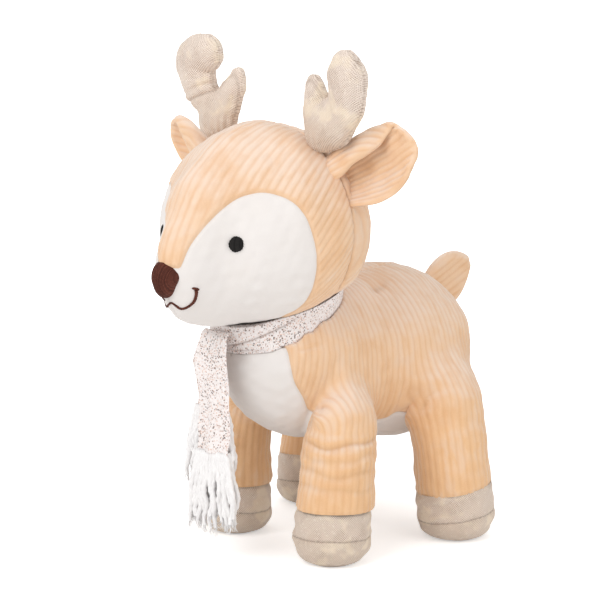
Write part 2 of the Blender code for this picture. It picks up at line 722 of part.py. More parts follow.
def make_legs():
    """Each leg is a ribbed sleeve, a gold hoof of two pieces and a stuffing core, on its own axis."""
    for place, spec, stations in (("front", SEAT_FRONT, FRONT_TUBE), ("rear", SEAT_REAR, REAR_TUBE)):
        outer = leg_form("leg_outer", spec, stations, 0.0, LEG_SIDES)
        inner = leg_form("leg_inner", spec, stations[::2], CLOTH, CORE_SIDES)
        core = leg_form("leg_core", spec, stations[::2], CLOTH + GAP, CORE_SIDES)
        skin = cut(outer, inner)
        slab = 0.1
        sole = keep(copy_of(skin, "sole"), box("low", (-slab, -slab, 0.0), (slab, slab, SOLE_TOP)))
        upper = keep(copy_of(skin, "upper"), box("mid", (-slab, -slab, SOLE_TOP + GAP),
                                                 (slab, slab, HOOF_TOP)))
        sleeve = keep(skin, box("high", (-slab, -slab, HOOF_TOP + GAP), (slab, slab, 0.3)))
        for side in ("left", "right"):
            hip = spec["hip"].copy()
            hip.x *= 1 if side == "left" else -1
            pivot = bpy.data.objects.new(f"leg_{place}_{side}_axis", None)
            pivot.location = hip
            model.objects.link(pivot)
            for thing, label, material in ((sleeve, "leg_{}_{}_sleeve", "velour_tan"),
                                           (upper, "hoof_{}_{}_upper", "knit_gold"),
                                           (sole, "hoof_{}_{}_sole", "knit_gold"),
                                           (core, "leg_{}_{}_stuffing", "stuffing")):
                node = copy_of(thing, "node") if side == "left" else mirrored(thing, "node")
                lean_over(node, LEANS[place, side])
                node.data.transform(Matrix.Translation(-hip))
                finish(node, label.format(place, side), material, pivot)
        discard(inner, core, sole, upper, sleeve)


def lean_over(thing, lean):
    """Shears a leg below its hip, so that its hoof stands where that leg's own hoof does."""
    for vertex in thing.data.vertices:
        share = max(1 - vertex.co.z / LEAN_HEIGHT, 0.0)
        vertex.co.x += lean.x * share
        vertex.co.y += lean.y * share


def body_cutters(grow):
    """What the body gives way to: the head's ball, the scarf's band and the four legs."""
    tools = [form("socket", swept_reach, HEAD_CENTRE, HEAD_CLEARANCE + grow, 28, 18)]
    tools.append(collar("collar", grow))
    for spec, stations in ((SEAT_FRONT, FRONT_TUBE), (SEAT_REAR, REAR_TUBE)):
        pocket = seat("pocket", spec, JOINT_GAP + grow, LEG_SIDES)
        room = leg_shaft("room", stations[5:-1], -SWING_ROOM - grow, LEG_SIDES)
        tools += [pocket, mirrored(pocket, "pocket_twin"), room, mirrored(room, "room_twin")]
    return tools


def make_body():
    """Two ribbed side panels, a smooth white chest and belly panel, and the stuffing. The exact solver
    loses pieces of this skin, so its cuts use the manifold one."""
    outer = form("body_outer", body_reach, BODY_CENTRE, 0.0, BODY_SEGMENTS, BODY_RINGS)
    inner = form("body_inner", body_reach, BODY_CENTRE, -CLOTH, BODY_SEGMENTS, BODY_RINGS)
    core = form("body_core", body_reach, BODY_CENTRE, -CLOTH - CORE_GAP, BODY_SEGMENTS, BODY_RINGS)
    skin = cut(outer, inner, solver="MANIFOLD")
    tools = body_cutters(0.0)
    cut(skin, *tools, solver="MANIFOLD")
    cut(core, *tools, solver="MANIFOLD")
    edge = list(BELLY_EDGE) + [(0.0900, 0.0300), (-0.1500, 0.0300), (-0.1500, 0.1420)]
    belly = keep(copy_of(skin, "belly"), prism("under", edge, -0.09, 0.09), solver="MANIFOLD")
    grown = grow_outline(edge, GAP)
    sides = cut(skin, prism("under_grown", grown, -0.09, 0.09), solver="MANIFOLD")
    left_half = box("left_half", (GAP / 2, -0.2, 0.0), (0.2, 0.2, 0.3))
    right_half = box("right_half", (-0.2, -0.2, 0.0), (-GAP / 2, 0.2, 0.3))
    left = keep(copy_of(sides, "left"), left_half, solver="MANIFOLD")
    right = keep(sides, right_half, solver="MANIFOLD")
    finish(largest_piece(left), "body_side_left", "velour_tan")
    finish(largest_piece(right), "body_side_right", "velour_tan")
    finish(largest_piece(belly), "belly_panel", "velour_white")
    finish(largest_piece(core), "body_stuffing", "stuffing")
    discard(inner, left_half, right_half, *tools)


def make_tail():
    """A short flat tail of two layers, on a hinge along its seam."""
    pivot = bpy.data.objects.new("tail_axis", None)
    pivot.location = TAIL_HINGE
    model.objects.link(pivot)
    clearance = form("tail_clearance", body_reach, BODY_CENTRE, TAIL_CLEARANCE, 32, 22)
    for layer, low, high in (("left_panel", LAYER_GAP / 2, TAIL_LAYER),
                             ("right_panel", -TAIL_LAYER, -LAYER_GAP / 2)):
        panel = leaf("tail", TAIL_BASE, TAIL_TIP, TAIL_ACROSS, TAIL_HALF_WIDTH, 0.0, low, high)
        cut(panel, clearance)
        panel.data.transform(Matrix.Translation(-pivot.location))
        finish(panel, "tail_" + layer, "velour_tan", pivot)
    discard(clearance)


# Scarf

def station_at(profile, angle):
    """The radius and the drop at an angle from the front, smoothly between the profile's points."""
    for first, last in zip(profile, profile[1:]):
        if angle <= last[0]:
            share = (1 - cos(pi * (angle - first[0]) / (last[0] - first[0]))) / 2
            return [first[k] + (last[k] - first[k]) * share for k in (1, 2)]
    return profile[-1][1:]


def neck_ring(profile, offset=0.0, lower=0.0, flat=None):
    """A ring of points round the neck's axis: moved out by an offset, lowered, or all at one drop."""
    axis = neck_axis()
    sideways = Vector((1, 0, 0))
    forwards = sideways.cross(axis)
    ring = []
    for i in range(BAND_STEPS):
        turn = 360 * i / BAND_STEPS
        radius, drop = station_at(profile, min(turn, 360 - turn))
        drop = drop + lower if flat is None else flat
        outwards = forwards * cos(radians(turn)) + sideways * sin(radians(turn))
        ring.append(HEAD_CENTRE - axis * drop + outwards * (radius + offset))
    return ring


def clear_of_head(ring, clearance):
    """Moves a ring's points out until they clear the head wherever it turns."""
    moved = []
    for point in ring:
        away = point - HEAD_CENTRE
        direction = away.normalized()
        reach = max(away.length, swept_reach(direction) + clearance)
        moved.append(HEAD_CENTRE + direction * reach)
    return moved


def closed_ribbon(name, rings):
    """A closed ring-shaped solid through four or more rings of points."""
    bm = bmesh.new()
    made = [[bm.verts.new(point) for point in ring] for ring in rings]
    for k in range(len(made)):
        ring, following = made[k], made[(k + 1) % len(made)]
        for i in range(BAND_STEPS):
            j = (i + 1) % BAND_STEPS
            bm.faces.new((ring[i], ring[j], following[j], following[i]))
    return solid(name, bm)


def make_band():
    """The scarf's band: a closed ribbon round the neck, under the head."""
    rings = [
        clear_of_head(neck_ring(BAND_TOP), HEAD_CLEARANCE),
        neck_ring(BAND_LOW),
        neck_ring(BAND_LOW, BAND_THICKNESS),
        clear_of_head(neck_ring(BAND_TOP, BAND_THICKNESS), HEAD_CLEARANCE),
    ]
    finish(closed_ribbon("band", rings), "scarf_band", "scarf_cloth")


def collar(name, grow):
    """The ring-shaped space round the neck that the band takes out of the body."""
    low = GAP + grow
    inner = -GAP - grow
    outer = BAND_THICKNESS + GAP + grow
    rings = [neck_ring(BAND_TOP, inner, flat=0.0), neck_ring(BAND_TOP, inner), neck_ring(BAND_LOW, inner, low),
             neck_ring(BAND_LOW, outer, low), neck_ring(BAND_TOP, outer + COLLAR_LIP),
             neck_ring(BAND_TOP, outer + COLLAR_FLARE, flat=0.0)]
    return closed_ribbon(name, rings)


def strip(name, spec):
    """One hanging tail of the scarf, with two soft folds down its length."""
    side = Vector((cos(spec["lean"]), sin(spec["lean"]), 0))
    normal = Vector((sin(spec["lean"]), -cos(spec["lean"]), 0))
    rows, columns = 7, 4
    rings = []
    for i in range(rows + 1):
        u = i / rows
        height = spec["top"] + (spec["hem"] - spec["top"]) * u
        wave = 0.0012 * sin(2.2 * pi * u)
        front, back = [], []
        for k in range(columns + 1):
            v = 2 * k / columns - 1
            fold = wave + 0.0011 * (0.4 + 0.6 * u) * cos(pi * 1.5 * v)
            middle = Vector((spec["x"], spec["y"], height)) + side * (v * TAIL_STRIP_WIDTH / 2)
            front.append(middle + normal * (fold + TAIL_STRIP_THICKNESS / 2))
            back.append(middle + normal * (fold - TAIL_STRIP_THICKNESS / 2))
        rings.append(front + list(reversed(back)))
    return loft(name, rings)


def fringe(name, spec, length):
    """Yarn strands that hang from a hem strip, fused into one body."""
    side = Vector((cos(spec["lean"]), sin(spec["lean"]), 0))
    normal = Vector((sin(spec["lean"]), -cos(spec["lean"]), 0))
    top = spec["hem"] - GAP
    half = TAIL_STRIP_WIDTH / 2
    middle = Vector((spec["x"], spec["y"], 0)) + normal * 0.0012
    rings = []
    for height in (top, top - 0.0022):
        ring = []
        for across, out in ((-half, -0.0010), (half, -0.0010), (half, 0.0010), (-half, 0.0010)):
            ring.append(middle + side * across + normal * out + Vector((0, 0, height)))
        rings.append(ring)
    hem = loft(name, rings)
    for k in range(STRANDS):
        start = -half + 0.0013 + (2 * half - 0.0026) * k / (STRANDS - 1)
        spread = start * 0.20
        reach = length * (1 - 0.07 * (k % 3))
        points = []
        for step in range(STRAND_STEPS + 1):
            t = step / STRAND_STEPS
            sway = spread * t * t + 0.0005 * sin(3.0 * t * pi + k) * t
            lean = 0.0010 * sin(2.2 * t * pi + 1.7 * k) * t
            points.append(middle + side * (start + sway) + normal * lean
                          + Vector((0, 0, top - 0.0011 - reach * t)))
        strand = tube("strand", points, [STRAND_RADIUS] * len(points), 4)
        join(hem, strand)
        discard(strand)
    return hem


def make_scarf():
    """The band round the neck and the two hanging tails, whose pivot is at the top of the tails."""
    make_band()
    pivot = bpy.data.objects.new("scarf_swing_axis", None)
    pivot.location = SCARF_PIVOT
    model.objects.link(pivot)
    for label, spec, length in (("front", SCARF_FRONT, FRINGE_FRONT_LENGTH),
                                ("rear", SCARF_REAR, FRINGE_REAR_LENGTH)):
        for thing, name, material in ((strip("strip", spec), "scarf_tail_" + label, "scarf_cloth"),
                                      (fringe("fringe", spec, length), "fringe_" + label, "yarn_white")):
            thing.data.transform(Matrix.Translation(-pivot.location))
            finish(thing, name, material, pivot)


def main():
    """Builds the deer."""
    global work, model
    clear_scene()
    model = new_collection("plush_deer")
    work = new_collection("construction")
    make_materials()
    frame = bpy.data.objects.new("head_turn_axis", None)
    frame.location = HEAD_CENTRE
    frame.rotation_mode = "QUATERNION"
    frame.rotation_quaternion = head_turn().to_quaternion()
    model.objects.link(frame)
    make_head(frame)
    make_ears(frame)
    make_antlers(frame)
    make_body()
    make_tail()
    make_legs()
    make_scarf()
    for thing in list(work.objects):
        bpy.data.objects.remove(thing, do_unlink=True)
    bpy.data.collections.remove(work)
    for thing in model.objects:
        if thing.parent is None:
            thing.location += TO_ORIGIN
    bpy.context.view_layer.update()


main()
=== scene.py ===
"""Looks of the plush deer: ribbed velour, a white face and belly, metallic knit antlers and hooves, and a
fringed scarf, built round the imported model. Lengths are metres, +Z is up and the deer faces -Y.

Most shapes are written in the design frame, which TO_ORIGIN then moves, or in the head's own frame.
"""

from math import cos, pi, radians, sin, sqrt

import bpy
import numpy as np
import openvdb
from mathutils import Matrix, Vector


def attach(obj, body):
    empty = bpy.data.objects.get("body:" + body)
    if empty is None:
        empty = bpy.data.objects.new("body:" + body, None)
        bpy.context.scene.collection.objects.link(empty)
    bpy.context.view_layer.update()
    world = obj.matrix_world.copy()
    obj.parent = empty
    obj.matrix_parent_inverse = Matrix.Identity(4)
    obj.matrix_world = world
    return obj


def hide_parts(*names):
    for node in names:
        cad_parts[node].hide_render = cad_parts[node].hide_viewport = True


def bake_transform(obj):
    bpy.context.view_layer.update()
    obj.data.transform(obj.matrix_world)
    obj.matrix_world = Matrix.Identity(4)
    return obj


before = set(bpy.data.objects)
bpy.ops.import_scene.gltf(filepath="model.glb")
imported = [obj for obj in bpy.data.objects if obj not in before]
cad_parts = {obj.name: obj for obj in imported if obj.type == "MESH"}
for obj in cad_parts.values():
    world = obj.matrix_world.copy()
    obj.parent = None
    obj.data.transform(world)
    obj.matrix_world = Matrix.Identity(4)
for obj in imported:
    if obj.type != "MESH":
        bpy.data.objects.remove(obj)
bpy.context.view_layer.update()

# The frame of the head and the place of the design frame
TO_ORIGIN = np.array((0.00105, 0.01292, 0.0))
HEAD_CENTRE = np.array((0.0, -0.0564, 0.1918))
HEAD_YAW = radians(6.6)
HEAD_ROLL = radians(-0.9)
NECK_TILT = radians(20)

# Head form
HEAD_RADIUS = 0.0600
MUZZLE_CENTRE = np.array((0.0, -0.0325, 0.0013))
MUZZLE_RADII = np.array((0.022, 0.057, 0.0403))
MUZZLE_TILT = radians(37.7)
HEAD_BLEND = 6.0
UNDERSIDE_DROP = 0.0405
UNDERSIDE_BLEND = 8.0
BACK_SEAM_Y = 0.008
FACE_EDGE = (
    (-0.1150, -0.0105), (-0.0820, -0.0105), (-0.0775, 0.0010), (-0.0700, 0.0110), (-0.0600, 0.0205),
    (-0.0500, 0.0275), (-0.0400, 0.0300), (-0.0315, 0.0257), (-0.0262, 0.0170), (-0.0230, 0.0050),
    (-0.0200, -0.0110), (-0.0183, -0.0275), (-0.0184, -0.0370), (-0.0205, -0.0430), (-0.0260, -0.0800),
    (-0.1150, -0.0800),
)
FACE_EDGE_RIGHT = (
    (-0.1150, -0.0105), (-0.0850, -0.0105), (-0.0815, -0.0025), (-0.0765, 0.0085), (-0.0690, 0.0140),
    (-0.0570, 0.0180), (-0.0450, 0.0250), (-0.0315, 0.0250), (-0.0262, 0.0168), (-0.0230, 0.0050),
    (-0.0200, -0.0110), (-0.0183, -0.0275), (-0.0184, -0.0370), (-0.0205, -0.0430), (-0.0260, -0.0800),
    (-0.1150, -0.0800),
)
TURN_RANGE = range(-25, 16, 5)
HEAD_CLEARANCE = 0.0011

# Body form
CHEST = (np.array((0.0, -0.0081, 0.1084)), np.array((0.0414, 0.0713, 0.0463)))
RUMP = (np.array((0.0, 0.0437, 0.1054)), np.array((0.0513, 0.0525, 0.0513)))
NECK = (np.array((0.0, -0.0420, 0.1240)), np.array((0.0400, 0.0385, 0.0340)))
BODY_SIZE = 0.048
BELLY_EDGE = (
    (-0.1500, 0.1420), (-0.0730, 0.1420), (-0.0685, 0.1280), (-0.0665, 0.1170), (-0.0630, 0.1070),
    (-0.0555, 0.0965), (-0.0450, 0.0840), (-0.0200, 0.0745), (0.0090, 0.0722), (0.0170, 0.0765),
    (0.0265, 0.0750), (0.0420, 0.0680), (0.0620, 0.0620), (0.0900, 0.0300), (-0.1500, 0.0300),
)

# Legs: (height, x, y, radius) stations, and the round shoulder or hip of each
SOLE_TOP = 0.0140
HOOF_TOP = 0.0300
SEAM_BOW = 0.0032
SEAM_TILT = 0.0034
HIP_FRONT = (np.array((0.0428, -0.0350, 0.0765)), np.array((0.0184, 0.0190, 0.0235)))
HIP_REAR = (np.array((0.0480, 0.0445, 0.0790)), np.array((0.0240, 0.0228, 0.0228)))
FRONT_TUBE = (
    (0.0000, 0.0452, -0.0412, 0.0130), (0.0025, 0.0452, -0.0412, 0.0190), (0.0075, 0.0452, -0.0412, 0.0224),
    (0.0140, 0.0452, -0.0412, 0.0233), (0.0220, 0.0451, -0.0412, 0.0228), (0.0300, 0.0450, -0.0411, 0.0207),
    (0.0345, 0.0448, -0.0409, 0.0205), (0.0480, 0.0446, -0.0398, 0.0211), (0.0620, 0.0440, -0.0382, 0.0210),
    (0.0730, 0.0424, -0.0366, 0.0194), (0.0800, 0.0405, -0.0360, 0.0140),
)
REAR_TUBE = (
    (0.0000, 0.0573, 0.0419, 0.0125), (0.0025, 0.0573, 0.0419, 0.0184), (0.0075, 0.0573, 0.0419, 0.0218),
    (0.0140, 0.0573, 0.0419, 0.0228), (0.0220, 0.0571, 0.0419, 0.0224), (0.0300, 0.0567, 0.0419, 0.0212),
    (0.0345, 0.0562, 0.0420, 0.0215), (0.0500, 0.0545, 0.0425, 0.0225), (0.0660, 0.0520, 0.0433, 0.0230),
    (0.0780, 0.0485, 0.0440, 0.0215), (0.0860, 0.0460, 0.0444, 0.0150),
)
TUBES = {"front": FRONT_TUBE, "rear": REAR_TUBE}
HIPS = {"front": HIP_FRONT, "rear": HIP_REAR}
SIGNS = {"left": 1, "right": -1}
LEAN_HEIGHT = 0.0700
LEANS = {
    ("front", "left"): (0.0000, -0.0028),
    ("front", "right"): (0.0000, 0.0030),
    ("rear", "left"): (0.0015, 0.0042),
    ("rear", "right"): (0.0000, -0.0045),
}
LEGS = list(LEANS)

# Scarf band, as (degrees from the front, radius round the neck's axis, drop below the head's centre)
BAND_TOP = ((0, 0.0500, 0.0370), (34, 0.0435, 0.0370), (65, 0.0402, 0.0370), (100, 0.0400, 0.0378),
            (140, 0.0365, 0.0410), (180, 0.0360, 0.0410))
BAND_LOW = ((0, 0.0485, 0.0548), (30, 0.0455, 0.0548), (45, 0.0415, 0.0548), (64, 0.0368, 0.0548),
            (82, 0.0325, 0.0548), (110, 0.0300, 0.0548), (180, 0.0300, 0.0548))
BAND_THICKNESS = 0.0020

# Cloth detail
BODY_PITCH = 0.0040
LEG_PITCH = 0.0044
HEAD_PITCH = 0.0040
RIB_HEIGHT = 0.00036
SKIN_VOXEL = 0.00085
ANTLER_VOXEL = 0.00065
LOOP_PITCH = 0.00135
THREADS_PER_METRE = 2600
SPECKS_PER_METRE = 980

# The layers of a skin that its materials read
SHADED = ("rib", "pile", "crease", "low_body_shade", "low", "weave_u", "weave_v")


# Points and arrays

def smoothstep(low, high, value):
    """0 below low, 1 above high and an S-curve between them."""
    share = np.clip((value - low) / (high - low), 0.0, 1.0)
    return share * share * (3 - 2 * share)


def bell(distance, width):
    """1 where a distance is 0, falling to 0 on both sides as a bell curve."""
    return np.exp(-(distance / width) ** 2)


def smooth_min(first, second, width):
    """The smaller of two fields, rounded where they meet."""
    share = np.clip(0.5 + 0.5 * (second - first) / width, 0.0, 1.0)
    return second * (1 - share) + first * share - width * share * (1 - share)


def smooth_path(points, steps):
    """Points along a Catmull-Rom curve, with the given number of steps in each span."""
    vectors = np.array(points, float)
    padded = np.vstack([2 * vectors[0] - vectors[1], vectors, 2 * vectors[-1] - vectors[-2]])
    result = []
    for a, b, c, d in zip(padded, padded[1:], padded[2:], padded[3:]):
        for k in range(steps):
            t = k / steps
            result.append(0.5 * (2 * b + (c - a) * t + (2 * a - 5 * b + 4 * c - d) * t * t
                                 + (3 * b - a - 3 * c + d) * t ** 3))
    result.append(vectors[-1])
    return np.array(result)


def turn_about(axis, angle):
    """A rotation matrix about a named or given axis, as an array."""
    return np.array(Matrix.Rotation(angle, 3, axis if isinstance(axis, str) else Vector(axis)))


def unit(vectors):
    """Vectors scaled to length one."""
    return vectors / np.maximum(np.linalg.norm(vectors, axis=-1, keepdims=True), 1e-12)


def waves(points, length, seed, count=10):
    """Soft noise between about -1 and 1: waves of about one length that run in all directions."""
    random = np.random.default_rng(seed)
    total = np.zeros(len(points))
    for _ in range(count):
        direction = unit(random.normal(size=3))
        turns = 2 * pi / (length * random.uniform(0.7, 1.4))
        total += np.sin(points @ direction * turns + random.uniform(0, 2 * pi))
    return total / sqrt(count / 2)


HEAD_TURN = turn_about("Z", HEAD_YAW) @ turn_about("Y", -HEAD_ROLL)
NECK_AXIS = np.array((0.0, -sin(NECK_TILT), cos(NECK_TILT)))


def from_head(points):
    """From the head's own frame to the design frame."""
    return points @ HEAD_TURN.T + HEAD_CENTRE


def outline_distance(points, outline):
    """Signed distance to a closed outline, above 0 inside it, and the direction in which it grows."""
    ring = np.array(outline)
    following = np.roll(ring, -1, axis=0)
    best = np.full(len(points), 1e9)
    nearest = np.zeros_like(points)
    inside = np.zeros(len(points), bool)
    for a, b in zip(ring, following):
        along = b - a
        share = np.clip((points - a) @ along / (along @ along), 0, 1)
        foot = a + share[:, None] * along
        distance = np.linalg.norm(points - foot, axis=1)
        closer = distance < best
        best[closer] = distance[closer]
        nearest[closer] = foot[closer]
        crosses = (a[1] > points[:, 1]) != (b[1] > points[:, 1])
        if a[1] != b[1]:
            at = a[0] + (points[:, 1] - a[1]) * along[0] / along[1]
            inside ^= crosses & (points[:, 0] < at)
    sign = np.where(inside, 1.0, -1.0)
    away = (points - nearest) / np.maximum(best, 1e-9)[:, None] * sign[:, None]
    return best * sign, away


def rounded_outline(outline, first, last, steps=6):
    """An outline whose points from first to last are joined by a smooth curve."""
    curve = smooth_path(outline[first:last], steps)
    before, after = (np.array(part).reshape(-1, 2) for part in (outline[:first], outline[last:]))
    return np.vstack([before, curve, after])


def across_surface(field, slope, normals):
    """Turns a signed distance in space into one along the surface, from the part of its slope that
    lies in the surface."""
    flat = slope - normals * (slope * normals).sum(1, keepdims=True)
    return field / np.maximum(np.linalg.norm(flat, axis=1), 0.25)


# Skins: a triangle mesh as arrays, with values at its points

class Skin:
    """Triangles with a table of values at the points: the place first and any layers after it."""

    def __init__(self, points, triangles, layers=None):
        self.points = points
        self.triangles = triangles
        self.layers = dict(layers or {})

    def normals(self):
        """Area-weighted normals of the points."""
        a, b, c = (self.points[self.triangles[:, k]] for k in range(3))
        face = np.cross(b - a, c - a)
        total = np.zeros_like(self.points)
        for k in range(3):
            for axis in range(3):
                total[:, axis] += np.bincount(self.triangles[:, k], face[:, axis], len(self.points))
        return unit(total)

    def clip(self, field):
        """The part where a field is above 0, cut along its zero line."""
        names = list(self.layers)
        widths = [np.atleast_2d(self.layers[name].T).shape[0] for name in names]
        table = np.column_stack([self.points, *(self.layers[name] for name in names)])
        inside = field > 0
        mark = inside[self.triangles]
        count = mark.sum(1)
        whole = self.triangles[count == 3]
        mixed = self.triangles[(count == 1) | (count == 2)]
        mark = inside[mixed]
        lone_inside = mark.sum(1) == 1
        first = (mark == lone_inside[:, None]).argmax(1)
        rolled = mixed[np.arange(len(mixed))[:, None], (first[:, None] + np.arange(3)) % 3]
        edges = np.vstack([rolled[:, [0, 1]], rolled[:, [0, 2]]])
        unique, index = np.unique(np.sort(edges, axis=1), axis=0, return_inverse=True)
        index = index.reshape(-1) + len(self.points)
        start, end = field[unique[:, 0]], field[unique[:, 1]]
        share = (start / (start - end))[:, None]
        table = np.vstack([table, table[unique[:, 0]] * (1 - share) + table[unique[:, 1]] * share])
        on_first, on_second = index[:len(mixed)], index[len(mixed):]
        lone = np.column_stack([rolled[:, 0], on_first, on_second])[lone_inside]
        pair = ~lone_inside
        quads = [np.column_stack([on_first, rolled[:, 1], rolled[:, 2]])[pair],
                 np.column_stack([on_first, rolled[:, 2], on_second])[pair]]
        triangles = np.vstack([whole, lone, *quads])
        used, compact = np.unique(triangles, return_inverse=True)
        table = table[used]
        layers, at = {}, 3
        for name, width in zip(names, widths):
            layers[name] = table[:, at] if width == 1 else table[:, at:at + width]
            at += width
        return Skin(table[:, :3], compact.reshape(-1, 3), layers)


def triangles_of(quads):
    """Two triangles for each quad."""
    return np.vstack([quads[:, [0, 1, 2]], quads[:, [0, 2, 3]]])


def skin_of_field(field, low, high, voxel, floor=-1.0):
    """A skin along a field's zero surface, where the field is below 0 inside. It is open below a floor."""
    axes = [np.arange(a, b, voxel) for a, b in zip(low, high)]
    shape = [len(axis) for axis in axes]
    values = np.empty(shape, np.float32)
    sheet = np.stack(np.meshgrid(axes[1], axes[2], indexing="ij"), -1).reshape(-1, 2)
    for i, x in enumerate(axes[0]):
        points = np.column_stack([np.full(len(sheet), x), sheet])
        values[i] = field(points).reshape(shape[1:])
    grid = openvdb.FloatGrid(float(voxel * 4))
    grid.copyFromArray(values)
    points, quads = grid.convertToQuads(0.0)
    points = np.array(points, float) * voxel + np.array(low)
    quads = np.array(quads, int)
    quads = quads[(points[quads][:, :, 2] > floor).all(1)]
    used, quads = np.unique(quads, return_inverse=True)
    points, quads = points[used], quads.reshape(-1, 4)
    for _ in range(4):
        value, slope = field(points), gradient(field, points)
        points -= slope * (value / np.maximum((slope * slope).sum(1), 1e-6))[:, None]
    skin = Skin(points, triangles_of(quads))
    outwards = (skin.normals() * gradient(field, points)).sum(1).mean()
    if outwards < 0:
        skin.triangles = skin.triangles[:, ::-1].copy()
    return skin


def gradient(field, points, step=0.0002):
    """Slope of a field by differences."""
    slopes = []
    for axis in range(3):
        shift = np.zeros(3)
        shift[axis] = step
        slopes.append((field(points + shift) - field(points - shift)) / (2 * step))
    return np.column_stack(slopes)


def grid_faces(rows, columns, closed_rows=False, closed_columns=False):
    """Quads over a grid of points, which may close on itself in either direction."""
    quads = []
    for i in range(rows if closed_rows else rows - 1):
        for j in range(columns if closed_columns else columns - 1):
            below, beside = (i + 1) % rows, (j + 1) % columns
            here, under = i * columns, below * columns
            quads.append((here + j, here + beside, under + beside, under + j))
    return quads


def rib_profile(phase):
    """Height of a rib between 0 in its groove and 1 on its crown."""
    share = np.abs(phase - np.round(phase)) * 2
    return 1 - np.exp(-(share / 0.46) ** 2)


# Objects

def add_object(name, mesh, material, layers):
    """Puts a finished mesh in the scene, with its material and the layers that materials read."""
    mesh.update(calc_edges=True)
    mesh.shade_smooth()
    for layer in SHADED:
        if layer in layers:
            attribute = mesh.attributes.new(layer, "FLOAT", "POINT")
            attribute.data.foreach_set("value", np.asarray(layers[layer], np.float32))
    mesh.materials.append(material)
    thing = bpy.data.objects.new(name, mesh)
    bpy.context.scene.collection.objects.link(thing)
    return thing


def add_skin(name, skin, material):
    """An object from a skin in the design frame. Where the skin keeps the normals of a larger one that it
    was cut from, they shade it, so that the pieces meet without a step."""
    count = len(skin.triangles)
    mesh = bpy.data.meshes.new(name)
    mesh.vertices.add(len(skin.points))
    mesh.vertices.foreach_set("co", (skin.points + TO_ORIGIN).astype(np.float32).ravel())
    mesh.loops.add(count * 3)
    mesh.loops.foreach_set("vertex_index", skin.triangles.astype(np.int32).ravel())
    mesh.polygons.add(count)
    mesh.polygons.foreach_set("loop_start", np.arange(0, count * 3, 3, dtype=np.int32))
    thing = add_object(name, mesh, material, skin.layers)
    if "shade_normal" in skin.layers:
        normals = unit(skin.layers["shade_normal"]).astype(np.float32)
        mesh.normals_split_custom_set_from_vertices(normals)
    return thing


def add_grid(name, points, faces, material, layers=None):
    """An object from points in the design frame and faces of any size."""
    mesh = bpy.data.meshes.new(name)
    places = (np.asarray(points) + TO_ORIGIN).tolist()
    mesh.from_pydata(places, [], [tuple(int(i) for i in face) for face in faces])
    return add_object(name, mesh, material, layers or {})


def settle(thing, body, nodes):
    """Rides a finished piece on its body, and hides the solids of the imported model that it stands for."""
    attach(thing, body)
    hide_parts(*nodes)


# Materials

